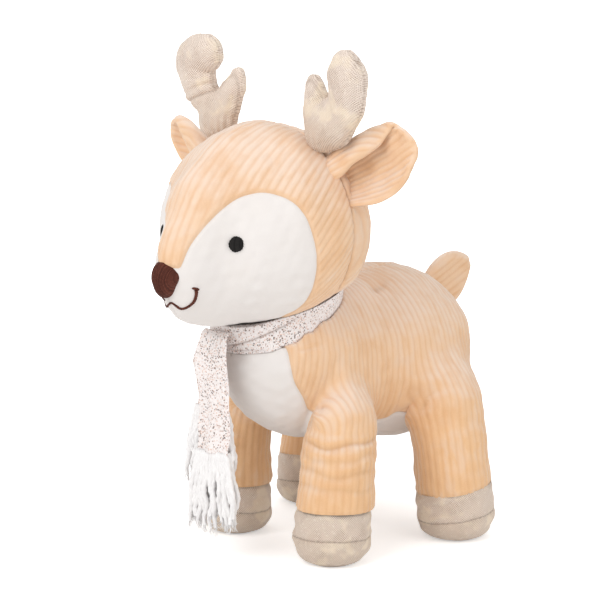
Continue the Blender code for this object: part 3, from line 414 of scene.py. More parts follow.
class Nodes:
    """Short calls for building the node tree of a material or of the world."""

    def __init__(self, owner, shader="Principled BSDF"):
        owner.use_nodes = True
        self.owner = owner
        self.tree = owner.node_tree
        self.shader = self.tree.nodes[shader]

    def node(self, kind, **settings):
        made = self.tree.nodes.new(kind)
        for key, value in settings.items():
            setattr(made, key, value)
        return made

    def link(self, source, target):
        self.tree.links.new(source, target)

    def fill(self, socket, value):
        if isinstance(value, bpy.types.NodeSocket):
            self.link(value, socket)
        else:
            socket.default_value = value

    def rays(self, *kinds):
        """1 for light paths of any of the kinds named."""
        path = self.node("ShaderNodeLightPath")
        return self.maths("MAXIMUM", *(path.outputs[f"Is {kind} Ray"] for kind in kinds))

    def layer(self, name):
        return self.node("ShaderNodeAttribute", attribute_name=name).outputs["Fac"]

    def maths(self, operation, *values):
        made = self.node("ShaderNodeMath", operation=operation)
        for socket, value in zip(made.inputs, values):
            self.fill(socket, value)
        return made.outputs[0]

    def ramp(self, value, low, high, start=0.0, end=1.0, smooth=True):
        made = self.node("ShaderNodeMapRange", interpolation_type="SMOOTHSTEP" if smooth else "LINEAR")
        for key, setting in zip(("Value", "From Min", "From Max", "To Min", "To Max"),
                                (value, low, high, start, end)):
            self.fill(made.inputs[key], setting)
        return made.outputs[0]

    def place(self, scale=(1, 1, 1), turn=(0, 0, 0)):
        made = self.node("ShaderNodeMapping")
        made.inputs["Scale"].default_value = scale
        made.inputs["Rotation"].default_value = turn
        self.link(self.node("ShaderNodeTexCoord").outputs["Object"], made.inputs["Vector"])
        return made.outputs[0]

    def noise(self, where, scale, detail=2.0, roughness=0.5):
        made = self.node("ShaderNodeTexNoise")
        self.link(where, made.inputs["Vector"])
        made.inputs["Scale"].default_value = scale
        made.inputs["Detail"].default_value = detail
        made.inputs["Roughness"].default_value = roughness
        return made.outputs["Fac"]

    def cells(self, where, scale, output="Distance", distance="EUCLIDEAN"):
        made = self.node("ShaderNodeTexVoronoi", distance=distance)
        self.link(where, made.inputs["Vector"])
        made.inputs["Scale"].default_value = scale
        return made.outputs[output]

    def parts(self, vector):
        made = self.node("ShaderNodeSeparateXYZ")
        self.link(vector, made.inputs[0])
        return made.outputs

    def facing_up(self):
        return self.parts(self.node("ShaderNodeNewGeometry").outputs["Normal"])[2]

    def along_ribs(self, phase, where, across, along):
        """A place in which one unit is many ribs wide one way and a length along them the other way."""
        x, y, z = self.parts(where)
        made = self.node("ShaderNodeCombineXYZ")
        self.fill(made.inputs[0], self.maths("MULTIPLY", phase, across))
        self.fill(made.inputs[1], self.maths("MULTIPLY", z, along))
        self.fill(made.inputs[2], self.maths("MULTIPLY", self.maths("ADD", x, y), along * 0.5))
        return made.outputs[0]

    def loops(self, pitch):
        """Rows of rounded knots, each row half a knot along from the last, between -1 and 1."""
        turns = [self.maths("MULTIPLY", self.layer(name), 2 * pi / pitch) for name in ("weave_u", "weave_v")]
        waves = [self.maths("SINE", self.maths(operation, *turns)) for operation in ("ADD", "SUBTRACT")]
        return self.maths("MULTIPLY", self.maths("ADD", *waves), 0.5)

    def mix(self, share, first, second):
        made = self.node("ShaderNodeMix", data_type="RGBA")
        self.fill(made.inputs["Factor"], share)
        for socket, value in ((made.inputs["A"], first), (made.inputs["B"], second)):
            self.fill(socket, (*value, 1.0) if isinstance(value, tuple) else value)
        return made.outputs["Result"]

    def bump(self, height, distance, strength):
        made = self.node("ShaderNodeBump")
        made.inputs["Distance"].default_value = distance
        made.inputs["Strength"].default_value = strength
        self.link(height, made.inputs["Height"])
        return made.outputs["Normal"]

    def shade(self, **values):
        """Fills the shader's sockets, whose names are written with underscores for spaces."""
        for key, value in values.items():
            self.fill(self.shader.inputs[key.replace("_", " ")], value)
        return self.owner


def linear(red, green, blue):
    """A colour as it looks on a screen, as the linear values that shaders take."""
    return tuple(c / 12.92 if c <= 0.04045 else ((c + 0.055) / 1.055) ** 2.4 for c in (red, green, blue))


def ribbed_velour(n, crown, low_body_shade, pale, dark_streak_and_groove_shade, seam):
    """Velour with soft raised ribs, streaked where it was stroked. Faces turned up are painted paler as
    painted light from above, the legs and low body a darker tan as painted shade, and the grooves and
    creases darker as painted shade; seams are darker along their own line."""
    where = n.place()
    phase = n.layer("rib")
    tufted = tuple(min(c * 1.15, 1.0) for c in crown)
    # Painted shade: the legs and low body are painted a darker, more saturated tan through this layer.
    crown = n.mix(n.layer("low_body_shade"), crown, low_body_shade)
    wobble = n.maths("MULTIPLY_ADD", n.noise(where, 190, 2), 0.16, -0.08)
    ridge = n.maths("PINGPONG", n.maths("ADD", phase, wobble), 0.5)
    groove = n.maths("MULTIPLY", n.ramp(ridge, 0.0, 0.34, 1.0, 0.0), n.layer("pile"))
    # Painted light: faces turned up are painted paler, standing for the light from above.
    base = n.mix(n.ramp(n.facing_up(), 0.05, 0.90), crown, pale)
    streaks = n.noise(n.along_ribs(phase, where, 0.75, 60), 1.0, 2, 0.6)
    patches = n.noise(where, 30, 3, 0.6)
    stroked = n.maths("MULTIPLY_ADD", streaks, 0.45, n.maths("MULTIPLY", patches, 0.55))
    base = n.mix(n.ramp(stroked, 0.46, 0.62, 0.0, 0.42), base, dark_streak_and_groove_shade)
    base = n.mix(n.ramp(stroked, 0.48, 0.38, 0.0, 0.30), base, pale)
    tufts = n.ramp(n.noise(where, 1500, 2, 0.7), 0.30, 0.75)
    base = n.mix(n.maths("MULTIPLY", tufts, 0.20), base, tufted)
    # Painted shade: the rib grooves are painted darker.
    colour = n.mix(n.maths("MULTIPLY", groove, 0.34), base, dark_streak_and_groove_shade)
    # Seams get their own dark line; creases, folds and the hollow under the ear's roll get painted shade.
    colour = n.mix(n.maths("MULTIPLY", n.layer("crease"), 0.75), colour, seam)
    height = n.maths("ADD", n.maths("MULTIPLY", n.noise(where, 1900, 3, 0.75), 0.8),
                     n.maths("MULTIPLY", n.noise(where, 420, 2), 0.5))
    return n.shade(Base_Color=colour, Roughness=0.92, Normal=n.bump(height, 0.0004, 0.55), Sheen_Weight=0.80,
                   Sheen_Roughness=0.35, Sheen_Tint=(1.0, 0.98, 0.96, 1.0), Specular_IOR_Level=0.12)


def smooth_velour(n, colour, seam):
    """Short white velour with a faint nap."""
    where = n.place()
    mottle = n.ramp(n.noise(where, 40, 3, 0.6), 0.3, 0.7)
    stroked = tuple(c * k for c, k in zip(colour, (0.975, 0.96, 0.94)))
    tone = n.mix(n.maths("MULTIPLY", mottle, 0.35), colour, stroked)
    # Seams get their own dark line; creases get painted shade.
    tone = n.mix(n.maths("MULTIPLY", n.layer("crease"), 0.45), tone, seam)
    height = n.maths("ADD", n.noise(where, 2200, 3, 0.7), n.maths("MULTIPLY", n.noise(where, 300, 2), 0.4))
    return n.shade(Base_Color=tone, Roughness=0.9, Normal=n.bump(height, 0.00025, 0.35), Sheen_Weight=0.20,
                   Sheen_Roughness=0.5, Specular_IOR_Level=0.12)


def metallic_knit(n, light, dark, gold, smooth_patch_tone_and_reflection, foil, seam):
    """Fine champagne knit: a regular grid of small loops with painted metallic glints, darker in the gaps as
    painted shade, a deeper gold low down that on the soles is also painted shade, and smooth golden patches
    painted lighter, partly their own tone and partly a painted reflection.
    """
    where = n.place()
    knots = n.loops(LOOP_PITCH)
    smooth_patch = n.ramp(n.noise(where, 70, 2), 0.50, 0.64)
    open_patch = n.ramp(n.noise(n.place((1, 1, 1), (0.7, 0.4, 0.2)), 95, 2), 0.50, 0.64)
    # Painted shade: the gaps between the loops are painted darker, more where the knit is open.
    gap_shade = n.ramp(knots, 0.10, -0.80)
    depth = n.maths("MULTIPLY_ADD", open_patch, 0.45, n.maths("MULTIPLY_ADD", smooth_patch, -0.35, 0.50))
    # Deeper gold low down: the hooves' own tone, and more on the soles as painted shade.
    light = n.mix(n.maths("MULTIPLY", n.layer("low"), 0.60), light, gold)
    # Smooth patches painted lighter: partly their own tone, partly a painted reflection.
    colour = n.mix(n.maths("MULTIPLY", smooth_patch, 0.55), light, smooth_patch_tone_and_reflection)
    colour = n.mix(n.maths("MULTIPLY", gap_shade, depth), colour, dark)
    # Painted glints: random cells painted near white, and glossier.
    glint = n.ramp(n.cells(where, 1300, output="Color"), 0.70, 0.95)
    colour = n.mix(n.maths("MULTIPLY", glint, 0.22), colour, foil)
    # Seams and stitches get their own dark line; the right antler's fold gets painted shade.
    colour = n.mix(n.maths("MULTIPLY", n.layer("crease"), 0.70), colour, seam)
    return n.shade(Base_Color=colour, Roughness=n.ramp(glint, 0.0, 1.0, 0.60, 0.38),
                   Normal=n.bump(knots, 0.00022, 0.7), Metallic=0.12, Sheen_Weight=0.15,
                   Specular_IOR_Level=0.45)


def satin_stitch(n, colour, turn):
    """Embroidery: thin parallel threads with a soft shine, painted lighter on their crowns as painted sheen
    and darker beside them as painted shade.
    """
    threads = n.noise(n.place((THREADS_PER_METRE, 40, 40), (0, 0, turn)), 1.0, 1.0)
    # Painted sheen and shade: each thread is painted lighter on its crown and darker beside it.
    sheen = n.ramp(threads, 0.35, 0.7)
    tone = n.mix(sheen, tuple(c * 0.70 for c in colour), tuple(min(c * 1.35, 1.0) for c in colour))
    return n.shade(Base_Color=tone, Roughness=n.ramp(sheen, 0, 1, 0.72, 0.52),
                   Normal=n.bump(threads, 0.0004, 0.8), Specular_IOR_Level=0.18)


def speckled_cloth(n, cloth, pale, rose, bronze, dark, seam):
    """Thin pale cloth strewn with rose-gold and dark foil specks."""
    where = n.place()
    weave = n.maths("ADD", n.noise(n.place((1, 1, 0.3)), 1600, 1), n.noise(n.place((0.3, 0.3, 1)), 1600, 1))
    colour = n.mix(n.ramp(weave, 0.8, 1.2), cloth, pale)
    near = n.ramp(n.cells(where, SPECKS_PER_METRE, distance="CHEBYCHEV"), 0.32, 0.42, 1.0, 0.0)
    kind = n.parts(n.cells(where, SPECKS_PER_METRE, output="Color"))
    dense = n.ramp(n.noise(where, 60, 2), 0.35, 0.65, 0.08, -0.08, smooth=False)
    light_speck = n.maths("MULTIPLY", near, n.ramp(n.maths("ADD", kind[0], dense), 0.42, 0.46))
    dark_speck = n.maths("MULTIPLY", near, n.ramp(n.maths("ADD", kind[1], dense), 0.84, 0.87))
    speck_tone = n.mix(n.ramp(kind[2], 0.2, 0.8), rose, bronze)
    colour = n.mix(n.maths("MULTIPLY", light_speck, 0.80), colour, speck_tone)
    colour = n.mix(n.maths("MULTIPLY", dark_speck, 0.90), colour, dark)
    foil = n.maths("MAXIMUM", light_speck, dark_speck)
    # Painted shade in the band's folds, from its crease layer.
    colour = n.mix(n.maths("MULTIPLY", n.layer("crease"), 0.65), colour, seam)
    fluff = n.maths("MULTIPLY", n.noise(where, 220, 2), 0.6)
    height = n.maths("ADD", n.maths("MULTIPLY", weave, 0.4), fluff)
    return n.shade(Base_Color=colour, Roughness=n.ramp(foil, 0, 1, 0.85, 0.34),
                   Normal=n.bump(height, 0.0004, 0.5), Sheen_Weight=0.2, Specular_IOR_Level=0.30)


def brushed_yarn(n, shaded, light):
    """Loose white yarn."""
    fibres = n.noise(n.place((1, 1, 0.25)), 1500, 3, 0.7)
    tone = n.mix(n.ramp(fibres, 0.3, 0.7), shaded, light)
    return n.shade(Base_Color=tone, Roughness=0.95, Normal=n.bump(fibres, 0.0004, 0.4), Sheen_Weight=0.6,
                   Sheen_Roughness=0.6, Specular_IOR_Level=0.1)


def make_materials():
    """The record's material slots, each with its procedural finish. Colours are as they look on a screen."""
    # Velour: its tan, a darker tan on the legs and low body as painted shade, a pale tone for streaks and
    # for the painted light on faces turned up, a dark tone for streaks and the painted shade in the grooves,
    # and the dark of seams and of the painted shade in creases.
    velour = [(0.922, 0.782, 0.648), (0.915, 0.748, 0.575), (0.915, 0.832, 0.768), (0.865, 0.672, 0.490),
              (0.60, 0.42, 0.30)]
    # Knit: its light tone, the painted shade in the gaps between loops, a deeper gold low down that on the
    # soles is painted shade, smooth patches that are partly a painted reflection, the painted glints, and
    # the dark of seams and of the painted shade in a fold.
    knit = [(0.905, 0.842, 0.790), (0.60, 0.49, 0.41), (0.860, 0.790, 0.720), (0.955, 0.890, 0.790),
            (1.0, 0.975, 0.93), (0.46, 0.37, 0.31)]
    # Scarf: its cloth, pale threads, rose and bronze specks, dark specks, and the painted shade in the
    # band's folds.
    scarf = [(0.91, 0.880, 0.868), (0.955, 0.925, 0.915), (0.88, 0.75, 0.68), (0.66, 0.52, 0.46),
             (0.33, 0.26, 0.24), (0.52, 0.42, 0.38)]
    finishes = {
        "velour_tan": (ribbed_velour, velour),
        "velour_white": (smooth_velour, [(0.905, 0.883, 0.868), (0.70, 0.60, 0.53)]),
        "knit_gold": (metallic_knit, knit),
        "thread_brown": (satin_stitch, [(0.33, 0.165, 0.12)], 0.0),
        "thread_black": (satin_stitch, [(0.10, 0.09, 0.085)], 0.3),
        "scarf_cloth": (speckled_cloth, scarf),
        "yarn_white": (brushed_yarn, [(0.925, 0.912, 0.908), (0.968, 0.960, 0.956)]),
    }
    materials = {}
    for slot, (finish, colours, *settings) in finishes.items():
        nodes = Nodes(bpy.data.materials.new(slot))
        materials[slot] = finish(nodes, *(linear(*colour) for colour in colours), *settings)
    return materials


# Head

def far_side(directions, centre, radii, tilt):
    """How far rays from the origin run before they leave a tilted ellipsoid."""
    turn = turn_about("X", -tilt)
    d = directions @ turn.T / radii
    c = turn @ centre / radii
    half = d @ c
    square = (d * d).sum(1)
    under = half * half - square * (c @ c - 1)
    return np.where(under > 0, np.maximum((half + np.sqrt(np.maximum(under, 0))) / square, 0), 0)


def head_reach(directions):
    """Distance from the head's centre to its surface, in the head's own frame."""
    reach = np.full(len(directions), HEAD_RADIUS)
    down = -directions @ NECK_AXIS
    floor = UNDERSIDE_DROP / np.maximum(down, 0.1)
    flattened = (reach ** -UNDERSIDE_BLEND + floor ** -UNDERSIDE_BLEND) ** (-1 / UNDERSIDE_BLEND)
    reach = np.where(down > 0.1, flattened, reach)
    muzzle = far_side(directions, MUZZLE_CENTRE, MUZZLE_RADII, MUZZLE_TILT)
    return (reach ** HEAD_BLEND + muzzle ** HEAD_BLEND) ** (1 / HEAD_BLEND)


def swept_reach(directions):
    """The farthest that the head reaches in directions of the design frame over its whole turn."""
    own = directions @ HEAD_TURN
    return np.max([head_reach(own @ turn_about(NECK_AXIS, -radians(turn)).T) for turn in TURN_RANGE], axis=0)


def on_head(directions, lift=0.0):
    """Points on the head's surface or above it, in the head's own frame."""
    directions = unit(np.atleast_2d(directions))
    return directions * (head_reach(directions) + lift)[:, None]


def cube_ball(count):
    """Directions over a ball and the triangles between them, from a cube's faces blown up."""
    steps = np.tan(np.linspace(-pi / 4, pi / 4, count + 1))
    u, v = np.meshgrid(steps, steps, indexing="ij")
    one = np.ones_like(u)
    sides = [(one, u, v), (-one, v, u), (v, one, u), (u, -one, v), (u, v, one), (v, u, -one)]
    points = np.vstack([np.column_stack([a.ravel(), b.ravel(), c.ravel()]) for a, b, c in sides])
    quads = np.array(grid_faces(count + 1, count + 1))
    quads = np.vstack([quads + k * (count + 1) ** 2 for k in range(6)])
    _, first, merged = np.unique(np.round(points, 7), axis=0, return_index=True, return_inverse=True)
    skin = Skin(unit(points[first]), triangles_of(merged.reshape(-1)[quads]))
    if (skin.normals() * skin.points).sum() < 0:
        skin.triangles = skin.triangles[:, ::-1].copy()
    return skin


HEAD_FAN = radians(45)
HEAD_FAN_OFFSET = 0.0200


def head_ribs(points):
    """Rib phase of the cap: ribs fan out from the nose over the crown, and run up and back on the cheeks."""
    across = np.array((0.0, -sin(HEAD_FAN), cos(HEAD_FAN)))
    away = points @ across + HEAD_FAN_OFFSET
    angle = np.arctan2(points[:, 0], away)
    return angle * (HEAD_RADIUS + HEAD_FAN_OFFSET * 0.5) / HEAD_PITCH


def make_head(materials):
    """The four panels of the head from one skin, so that they meet along their seams."""
    skin = cube_ball(130)
    skin.points = on_head(skin.points)
    normals = skin.normals()
    points = skin.points
    left, right = (outline_distance(points[:, 1:], rounded_outline(edge, 1, len(edge) - 2))
                   for edge in (FACE_EDGE, FACE_EDGE_RIGHT))
    on_left = smoothstep(-0.004, 0.004, points[:, 0])
    inside = right[0] + (left[0] - right[0]) * on_left
    slope = right[1] + (left[1] - right[1]) * on_left[:, None]
    slope = np.column_stack([np.zeros(len(points)), slope])
    face = across_surface(inside, slope, normals)
    back = points[:, 1] - BACK_SEAM_Y
    middle = np.where(inside > 0, np.abs(points[:, 0]), 1.0)
    ribbed = (inside < 0).astype(float)
    pile = smoothstep(0.0004, 0.0024, np.minimum(np.abs(face), np.abs(back)))
    phase = np.where(back > 0, points[:, 0] / HEAD_PITCH, head_ribs(points))
    lift = RIB_HEIGHT * rib_profile(phase) * ribbed * pile
    lift += 0.00035 * ribbed * smoothstep(0.0, 0.0022, np.abs(face))
    lift -= 0.00060 * bell(face, 0.0009)
    lift -= 0.00110 * bell(back, 0.0010)
    lift -= 0.00030 * bell(middle, 0.0008)
    around = np.arctan2(points[:, 2], points[:, 0])
    lift += 0.00012 * np.sin(around * HEAD_RADIUS / 0.0011) * bell(back, 0.004)
    lift += 0.00045 * waves(points, 0.035, 3) + 0.00012 * waves(points, 0.009, 4)
    crease = np.maximum(0.9 * bell(back, 0.0006), 0.22 * bell(face, 0.0006))
    skin.points = from_head(points + normals * lift[:, None])
    skin.layers = {"rib": phase, "pile": pile, "crease": crease, "shade_normal": skin.normals()}
    outside = np.where(inside < 0, np.abs(face), -np.abs(face))
    side = points[:, 0]
    panels = (
        ("head_back", back, "velour_tan", ["head_back_panel"]),
        ("head_cap", np.minimum(outside, -back), "velour_tan", ["head_cap_panel", "head_stuffing"]),
        ("face_left", np.minimum(np.minimum(-outside, side), -back), "velour_white", ["face_panel_left"]),
        ("face_right", np.minimum(np.minimum(-outside, -side), -back), "velour_white", ["face_panel_right"]),
    )
    for name, part, slot, nodes in panels:
        thing = add_skin(name, skin.clip(part), materials[slot])
        settle(thing, "head", nodes)


# Torso and legs

def gauge(points, centre, radii):
    """1 on an ellipsoid, less inside it."""
    return np.sqrt((((points - centre) / radii) ** 2).sum(1))


def neck_coordinates(points):
    """Drop below the head's centre along the neck, distance from its axis, and degrees from the front."""
    from_centre = points - HEAD_CENTRE
    drop = -from_centre @ NECK_AXIS
    sideways = from_centre[:, 0]
    forwards = from_centre @ np.cross((1.0, 0.0, 0.0), NECK_AXIS)
    return drop, np.hypot(sideways, forwards), np.degrees(np.abs(np.arctan2(sideways, forwards)))


def station_at(profile, angle, column):
    """A profile's value at angles from the front, smoothly between its points."""
    stops = np.array(profile, float)
    k = np.clip(np.searchsorted(stops[:, 0], angle, side="left") - 1, 0, len(stops) - 2)
    share = (1 - np.cos(pi * (angle - stops[k, 0]) / (stops[k + 1, 0] - stops[k, 0]))) / 2
    return stops[k, column] + (stops[k + 1, column] - stops[k, column]) * share


def body_field(points):
    """The torso: chest, rump and neck as one form, less the room for the head and the scarf's band."""
    total = 0
    for centre, radii in (CHEST, RUMP, NECK):
        total = total + np.maximum(gauge(points, centre, radii), 0.05) ** -8
    field = (total ** (-1 / 8) - 1) * BODY_SIZE
    away = points - HEAD_CENTRE
    distance = np.linalg.norm(away, axis=1)
    near = distance < 0.085
    socket = np.full(len(points), -1.0)
    if near.any():
        socket[near] = swept_reach(unit(away[near])) + HEAD_CLEARANCE - distance[near]
    field = -smooth_min(-field, -socket, 0.0010)
    drop, radius, angle = neck_coordinates(points)
    low = station_at(BAND_LOW, angle, 2)
    top = station_at(BAND_TOP, angle, 2)
    share = np.clip((drop - top) / (low - top), 0, 1)
    at = station_at(BAND_TOP, angle, 1) * (1 - share) + station_at(BAND_LOW, angle, 1) * share
    outer = at + BAND_THICKNESS + 0.0008 + np.maximum(top - drop, 0) * 0.62
    room = np.minimum(np.minimum(low + 0.0006 - drop, radius - at + 0.0005), outer - radius)
    return -smooth_min(-field, -room, 0.0012)


def tube_at(leg, height):
    """Centre and radius of a leg at a height, for a leg on the left side."""
    place, side = leg
    fine = smooth_path(TUBES[place], 6)
    x, y, radius = (np.interp(height, fine[:, 0], fine[:, k]) for k in (1, 2, 3))
    share = np.maximum(1 - height / LEAN_HEIGHT, 0)
    lean = LEANS[leg]
    return x + lean[0] * SIGNS[side] * share, y + lean[1] * share, radius


def mirrored(points, side):
    """Points of a side as they would be on the left."""
    return points * np.array((SIGNS[side], 1, 1))


def leg_angle(points, leg, highest=1.0):
    """Angle round a leg's middle line, from straight outwards. The line is upright above the highest."""
    own = mirrored(points, leg[1])
    x, y, _ = tube_at(leg, np.minimum(own[:, 2], highest))
    return np.arctan2(own[:, 1] - y, own[:, 0] - x)


def leg_field(points, leg):
    """One leg: its tube and its round shoulder or hip."""
    place, side = leg
    own = mirrored(points, side)
    x, y, radius = tube_at(leg, own[:, 2])
    tube = np.hypot(own[:, 0] - x, own[:, 1] - y) - radius + np.maximum(own[:, 2] - TUBES[place][-1][0], 0)
    dome = (gauge(own, *HIPS[place]) - 1) * HIPS[place][1][0]
    return smooth_min(tube, dome, 0.004)


def crease_width(points, place):
    """How softly a leg flows into the torso: crisply in front and below, softly on the flank."""
    y, z = points[:, 1], points[:, 2]
    if place == "front":
        flank = smoothstep(-0.052, -0.032, y) * smoothstep(0.060, 0.078, z)
    else:
        flank = smoothstep(0.036, 0.060, y) * smoothstep(0.060, 0.075, z)
        flank = np.maximum(smoothstep(0.080, 0.100, z), flank)
    return 0.0018 + 0.0190 * flank


def skin_field(points):
    """Torso and legs as one form."""
    field = body_field(points)
    for leg in LEGS:
        field = smooth_min(field, leg_field(points, leg), crease_width(points, leg[0]))
    return field


def arc_length_phase(y):
    """Rib phase along the body: ribs are hoops, evenly spaced along its outline seen from above."""
    stops = np.linspace(-0.079, 0.096, 400)
    widths = []
    for centre, radii in (CHEST, RUMP):
        widths.append(radii[0] * np.sqrt(np.maximum(1 - ((stops - centre[1]) / radii[1]) ** 2, 0)))
    width = np.maximum(*widths)
    length = np.concatenate([[0], np.cumsum(np.hypot(np.diff(stops), np.diff(width)))])
    return np.interp(y, stops, length) / BODY_PITCH


def rib_phase(points):
    """Rib phase over the torso: ribs stand upright, and wrap the rump towards the seam behind it."""
    x, y = np.abs(points[:, 0]), points[:, 1] - RUMP[0][1]
    behind = np.hypot(x, y) * np.arctan2(np.maximum(y, 0), x)
    return arc_length_phase(np.minimum(points[:, 1], RUMP[0][1])) + behind / BODY_PITCH


def seam_bow(angle, leg):
    """How far a hoof's seams rise at an angle round the leg, measured from its outer side."""
    place, side = leg
    if place == "front":
        return SEAM_BOW * (0.5 + 0.5 * np.cos(angle + radians(45)))
    return SEAM_TILT * np.cos(angle - radians(46)) * SIGNS[side]


# The height, depth and width of each wrinkle across the front legs
WRINKLES = ((0.0715, 0.0012, 0.0019), (0.0640, 0.0005, 0.0026), (0.0560, 0.0007, 0.0028),
            (0.0470, 0.0005, 0.0026))
# Where the ribs of the torso turn into those of a leg: above and below the middle of its hip
RIB_TURN = {"front": (0.013, 0.001), "rear": (0.024, -0.012)}
LEG_ROUND = 0.0215
CUFF_FLARE = {"front": 0.0019, "rear": 0.0006}

# Creases pressed into the skin on both sides: a line, its depth, its half-width and the swell below it
SHOULDER_CREASE = ((0.0359, -0.0586, 0.0827), (0.0373, -0.0560, 0.0860), (0.0380, -0.0540, 0.0882),
                   (0.0397, -0.0510, 0.0906), (0.0408, -0.0460, 0.0926), (0.0400, -0.0400, 0.0938))
THIGH_CREASE = ((0.0462, 0.0222, 0.0728), (0.0516, 0.0225, 0.0798), (0.0543, 0.0246, 0.0872),
                (0.0538, 0.0311, 0.0964))
BACK_CREASE = ((0.0150, 0.0120, 0.1500), (0.0214, 0.0131, 0.1491), (0.0205, 0.0225, 0.1507))
NECK_CREASE = ((0.0346, -0.0613, 0.1263), (0.0370, -0.0550, 0.1275), (0.0388, -0.0495, 0.1281))
CREASES = (
    (SHOULDER_CREASE, 0.0018, 0.0015, 0.0009),
    (THIGH_CREASE, 0.0009, 0.0016, 0.0004),
    (BACK_CREASE, 0.0013, 0.0030, 0.0000),
    (NECK_CREASE, 0.0008, 0.0014, 0.0004),
)


def pressed(points):
    """How far the creases lift the skin, and the shade painted into them."""
    own = np.column_stack([np.abs(points[:, 0]), points[:, 1:]])
    lift = np.zeros(len(points))
    shade = np.zeros(len(points))
    for line, depth, width, swell in CREASES:
        path = smooth_path(line, 6)
        near = np.where((own > path.min(0) - 0.012).all(1) & (own < path.max(0) + 0.012).all(1))[0]
        away = (own[near, None, :] - path[None]) * (0.45, 1.0, 1.0)
        distance = np.linalg.norm(away, axis=2)
        nearest = distance.argmin(1)
        distance = distance.min(1)
        under = path[nearest, 2] - own[near, 2]
        fade = np.minimum(1.0, 0.25 + 1.5 * (1 - nearest / (len(path) - 1)))
        lift[near] -= depth * fade * bell(distance, width)
        lift[near] += swell * fade * bell(under - 0.0035, 0.0026) * bell(distance, 0.006)
        shade[near] += fade * depth / 0.0016 * 0.45 * bell(distance, 0.5 * width)
    return lift, shade


def wrinkles(height, angle, depth_inside):
    """How far the wrinkles of a front leg lift its skin, and the shade painted into them."""
    lift = np.zeros(len(height))
    shade = np.zeros(len(height))
    toward = np.cos(angle + radians(45))
    for level, depth, width in WRINKLES:
        wavy = 0.0012 * np.sin(angle * 2.3 + level * 900) + 0.0007 * np.sin(angle * 5.1 + level * 500)
        facing = smoothstep(-0.35, 0.55, toward + 0.25 * np.sin(level * 3000 + angle))
        crease = bell(height - level - wavy, width)
        swell = bell(height - level - wavy - 0.0038, 0.0030)
        reach = facing * smoothstep(-0.001, 0.003, depth_inside)
        lift += reach * (swell * 0.55 - crease) * depth * 0.75
        shade = np.maximum(shade, reach * depth * 280 * crease ** 3)
    return lift, shade


def leg_details(points, leg, on_leg, phase):
    """The rib phase near a leg, how far its folds lift the skin, and the shade painted into its wrinkles."""
    place = leg[0]
    height = points[:, 2]
    hip = HIPS[place][0]
    angle = leg_angle(points, leg, hip[2])
    around = np.round(arc_length_phase(hip[1])) + angle * LEG_ROUND / LEG_PITCH
    above, below = RIB_TURN[place]
    share = smoothstep(hip[2] + above, hip[2] + below, height) * smoothstep(-0.012, 0.0, on_leg)
    phase = phase * (1 - share) + around * share
    lift = -0.0008 * bell(height - seam_bow(angle, leg) - HOOF_TOP, 0.0010)
    lift += CUFF_FLARE[place] * smoothstep(0.056, 0.034, height)
    shade = np.zeros(len(points))
    if place == "front":
        more, shade = wrinkles(height, angle, on_leg)
        lift += more
    return phase, lift, shade


def torso_skin():
    """Torso and legs as one skin, with the layers that its panels are cut along."""
    voxel = SKIN_VOXEL
    skin = skin_of_field(skin_field, (-0.088, -0.088, 0.020), (0.088, 0.106, 0.170), voxel, 0.024)
    points, normals = skin.points, skin.normals()
    inside, slope = outline_distance(points[:, 1:], rounded_outline(BELLY_EDGE, 1, len(BELLY_EDGE) - 2))
    slope = np.column_stack([np.zeros(len(points)), slope])
    belly = across_surface(inside, slope, normals)
    leg_share = body_field(points)[:, None] - np.column_stack([leg_field(points, leg) for leg in LEGS])
    on_leg = leg_share.max(1)
    phase = rib_phase(points)
    lift = np.zeros(len(points))
    folds = np.zeros(len(points))
    for k, leg in enumerate(LEGS):
        mine = (leg_share.argmax(1) == k) & (on_leg > -0.02)
        phase[mine], lift[mine], folds[mine] = leg_details(points[mine], leg, on_leg[mine], phase[mine])
    tan = (inside <= 0) | (on_leg >= 0)
    seam = np.where(on_leg < 0.0005, np.abs(belly), 1.0)
    fold = np.where(inside > -0.004, np.abs(on_leg), 1.0)
    spine = np.abs(points[:, 0]) + 0.05 * (normals[:, 2] < 0.1)
    pile = smoothstep(0.0003, 0.0022, np.minimum(seam, fold))
    lift += RIB_HEIGHT * rib_profile(phase) * pile * tan + 0.0003 * tan * pile
    lift -= 0.0008 * bell(seam, 0.0010)
    lift -= 0.0007 * bell(spine, 0.0010)
    lift += 0.00055 * waves(points, 0.040, 7) + 0.00014 * waves(points, 0.010, 8)
    pressed_in, crease = pressed(points)
    lift += pressed_in
    # Painted shade in the pressed creases and the leg wrinkles, with the belly seam's own dark line.
    crease = np.maximum(np.maximum(crease, folds), 0.25 * bell(seam, 0.0006))
    skin.points = points + normals * lift[:, None]
    # The layer that darkens the tan towards the floor is painted shade of the legs and low body.
    skin.layers = {"rib": phase, "pile": pile, "crease": crease, "shade_normal": skin.normals(),
                   "low_body_shade": smoothstep(0.125, 0.060, points[:, 2]), "on_leg": on_leg, "belly": belly,
                   "side": points[:, 0], "height": points[:, 2]}
    return skin, leg_share


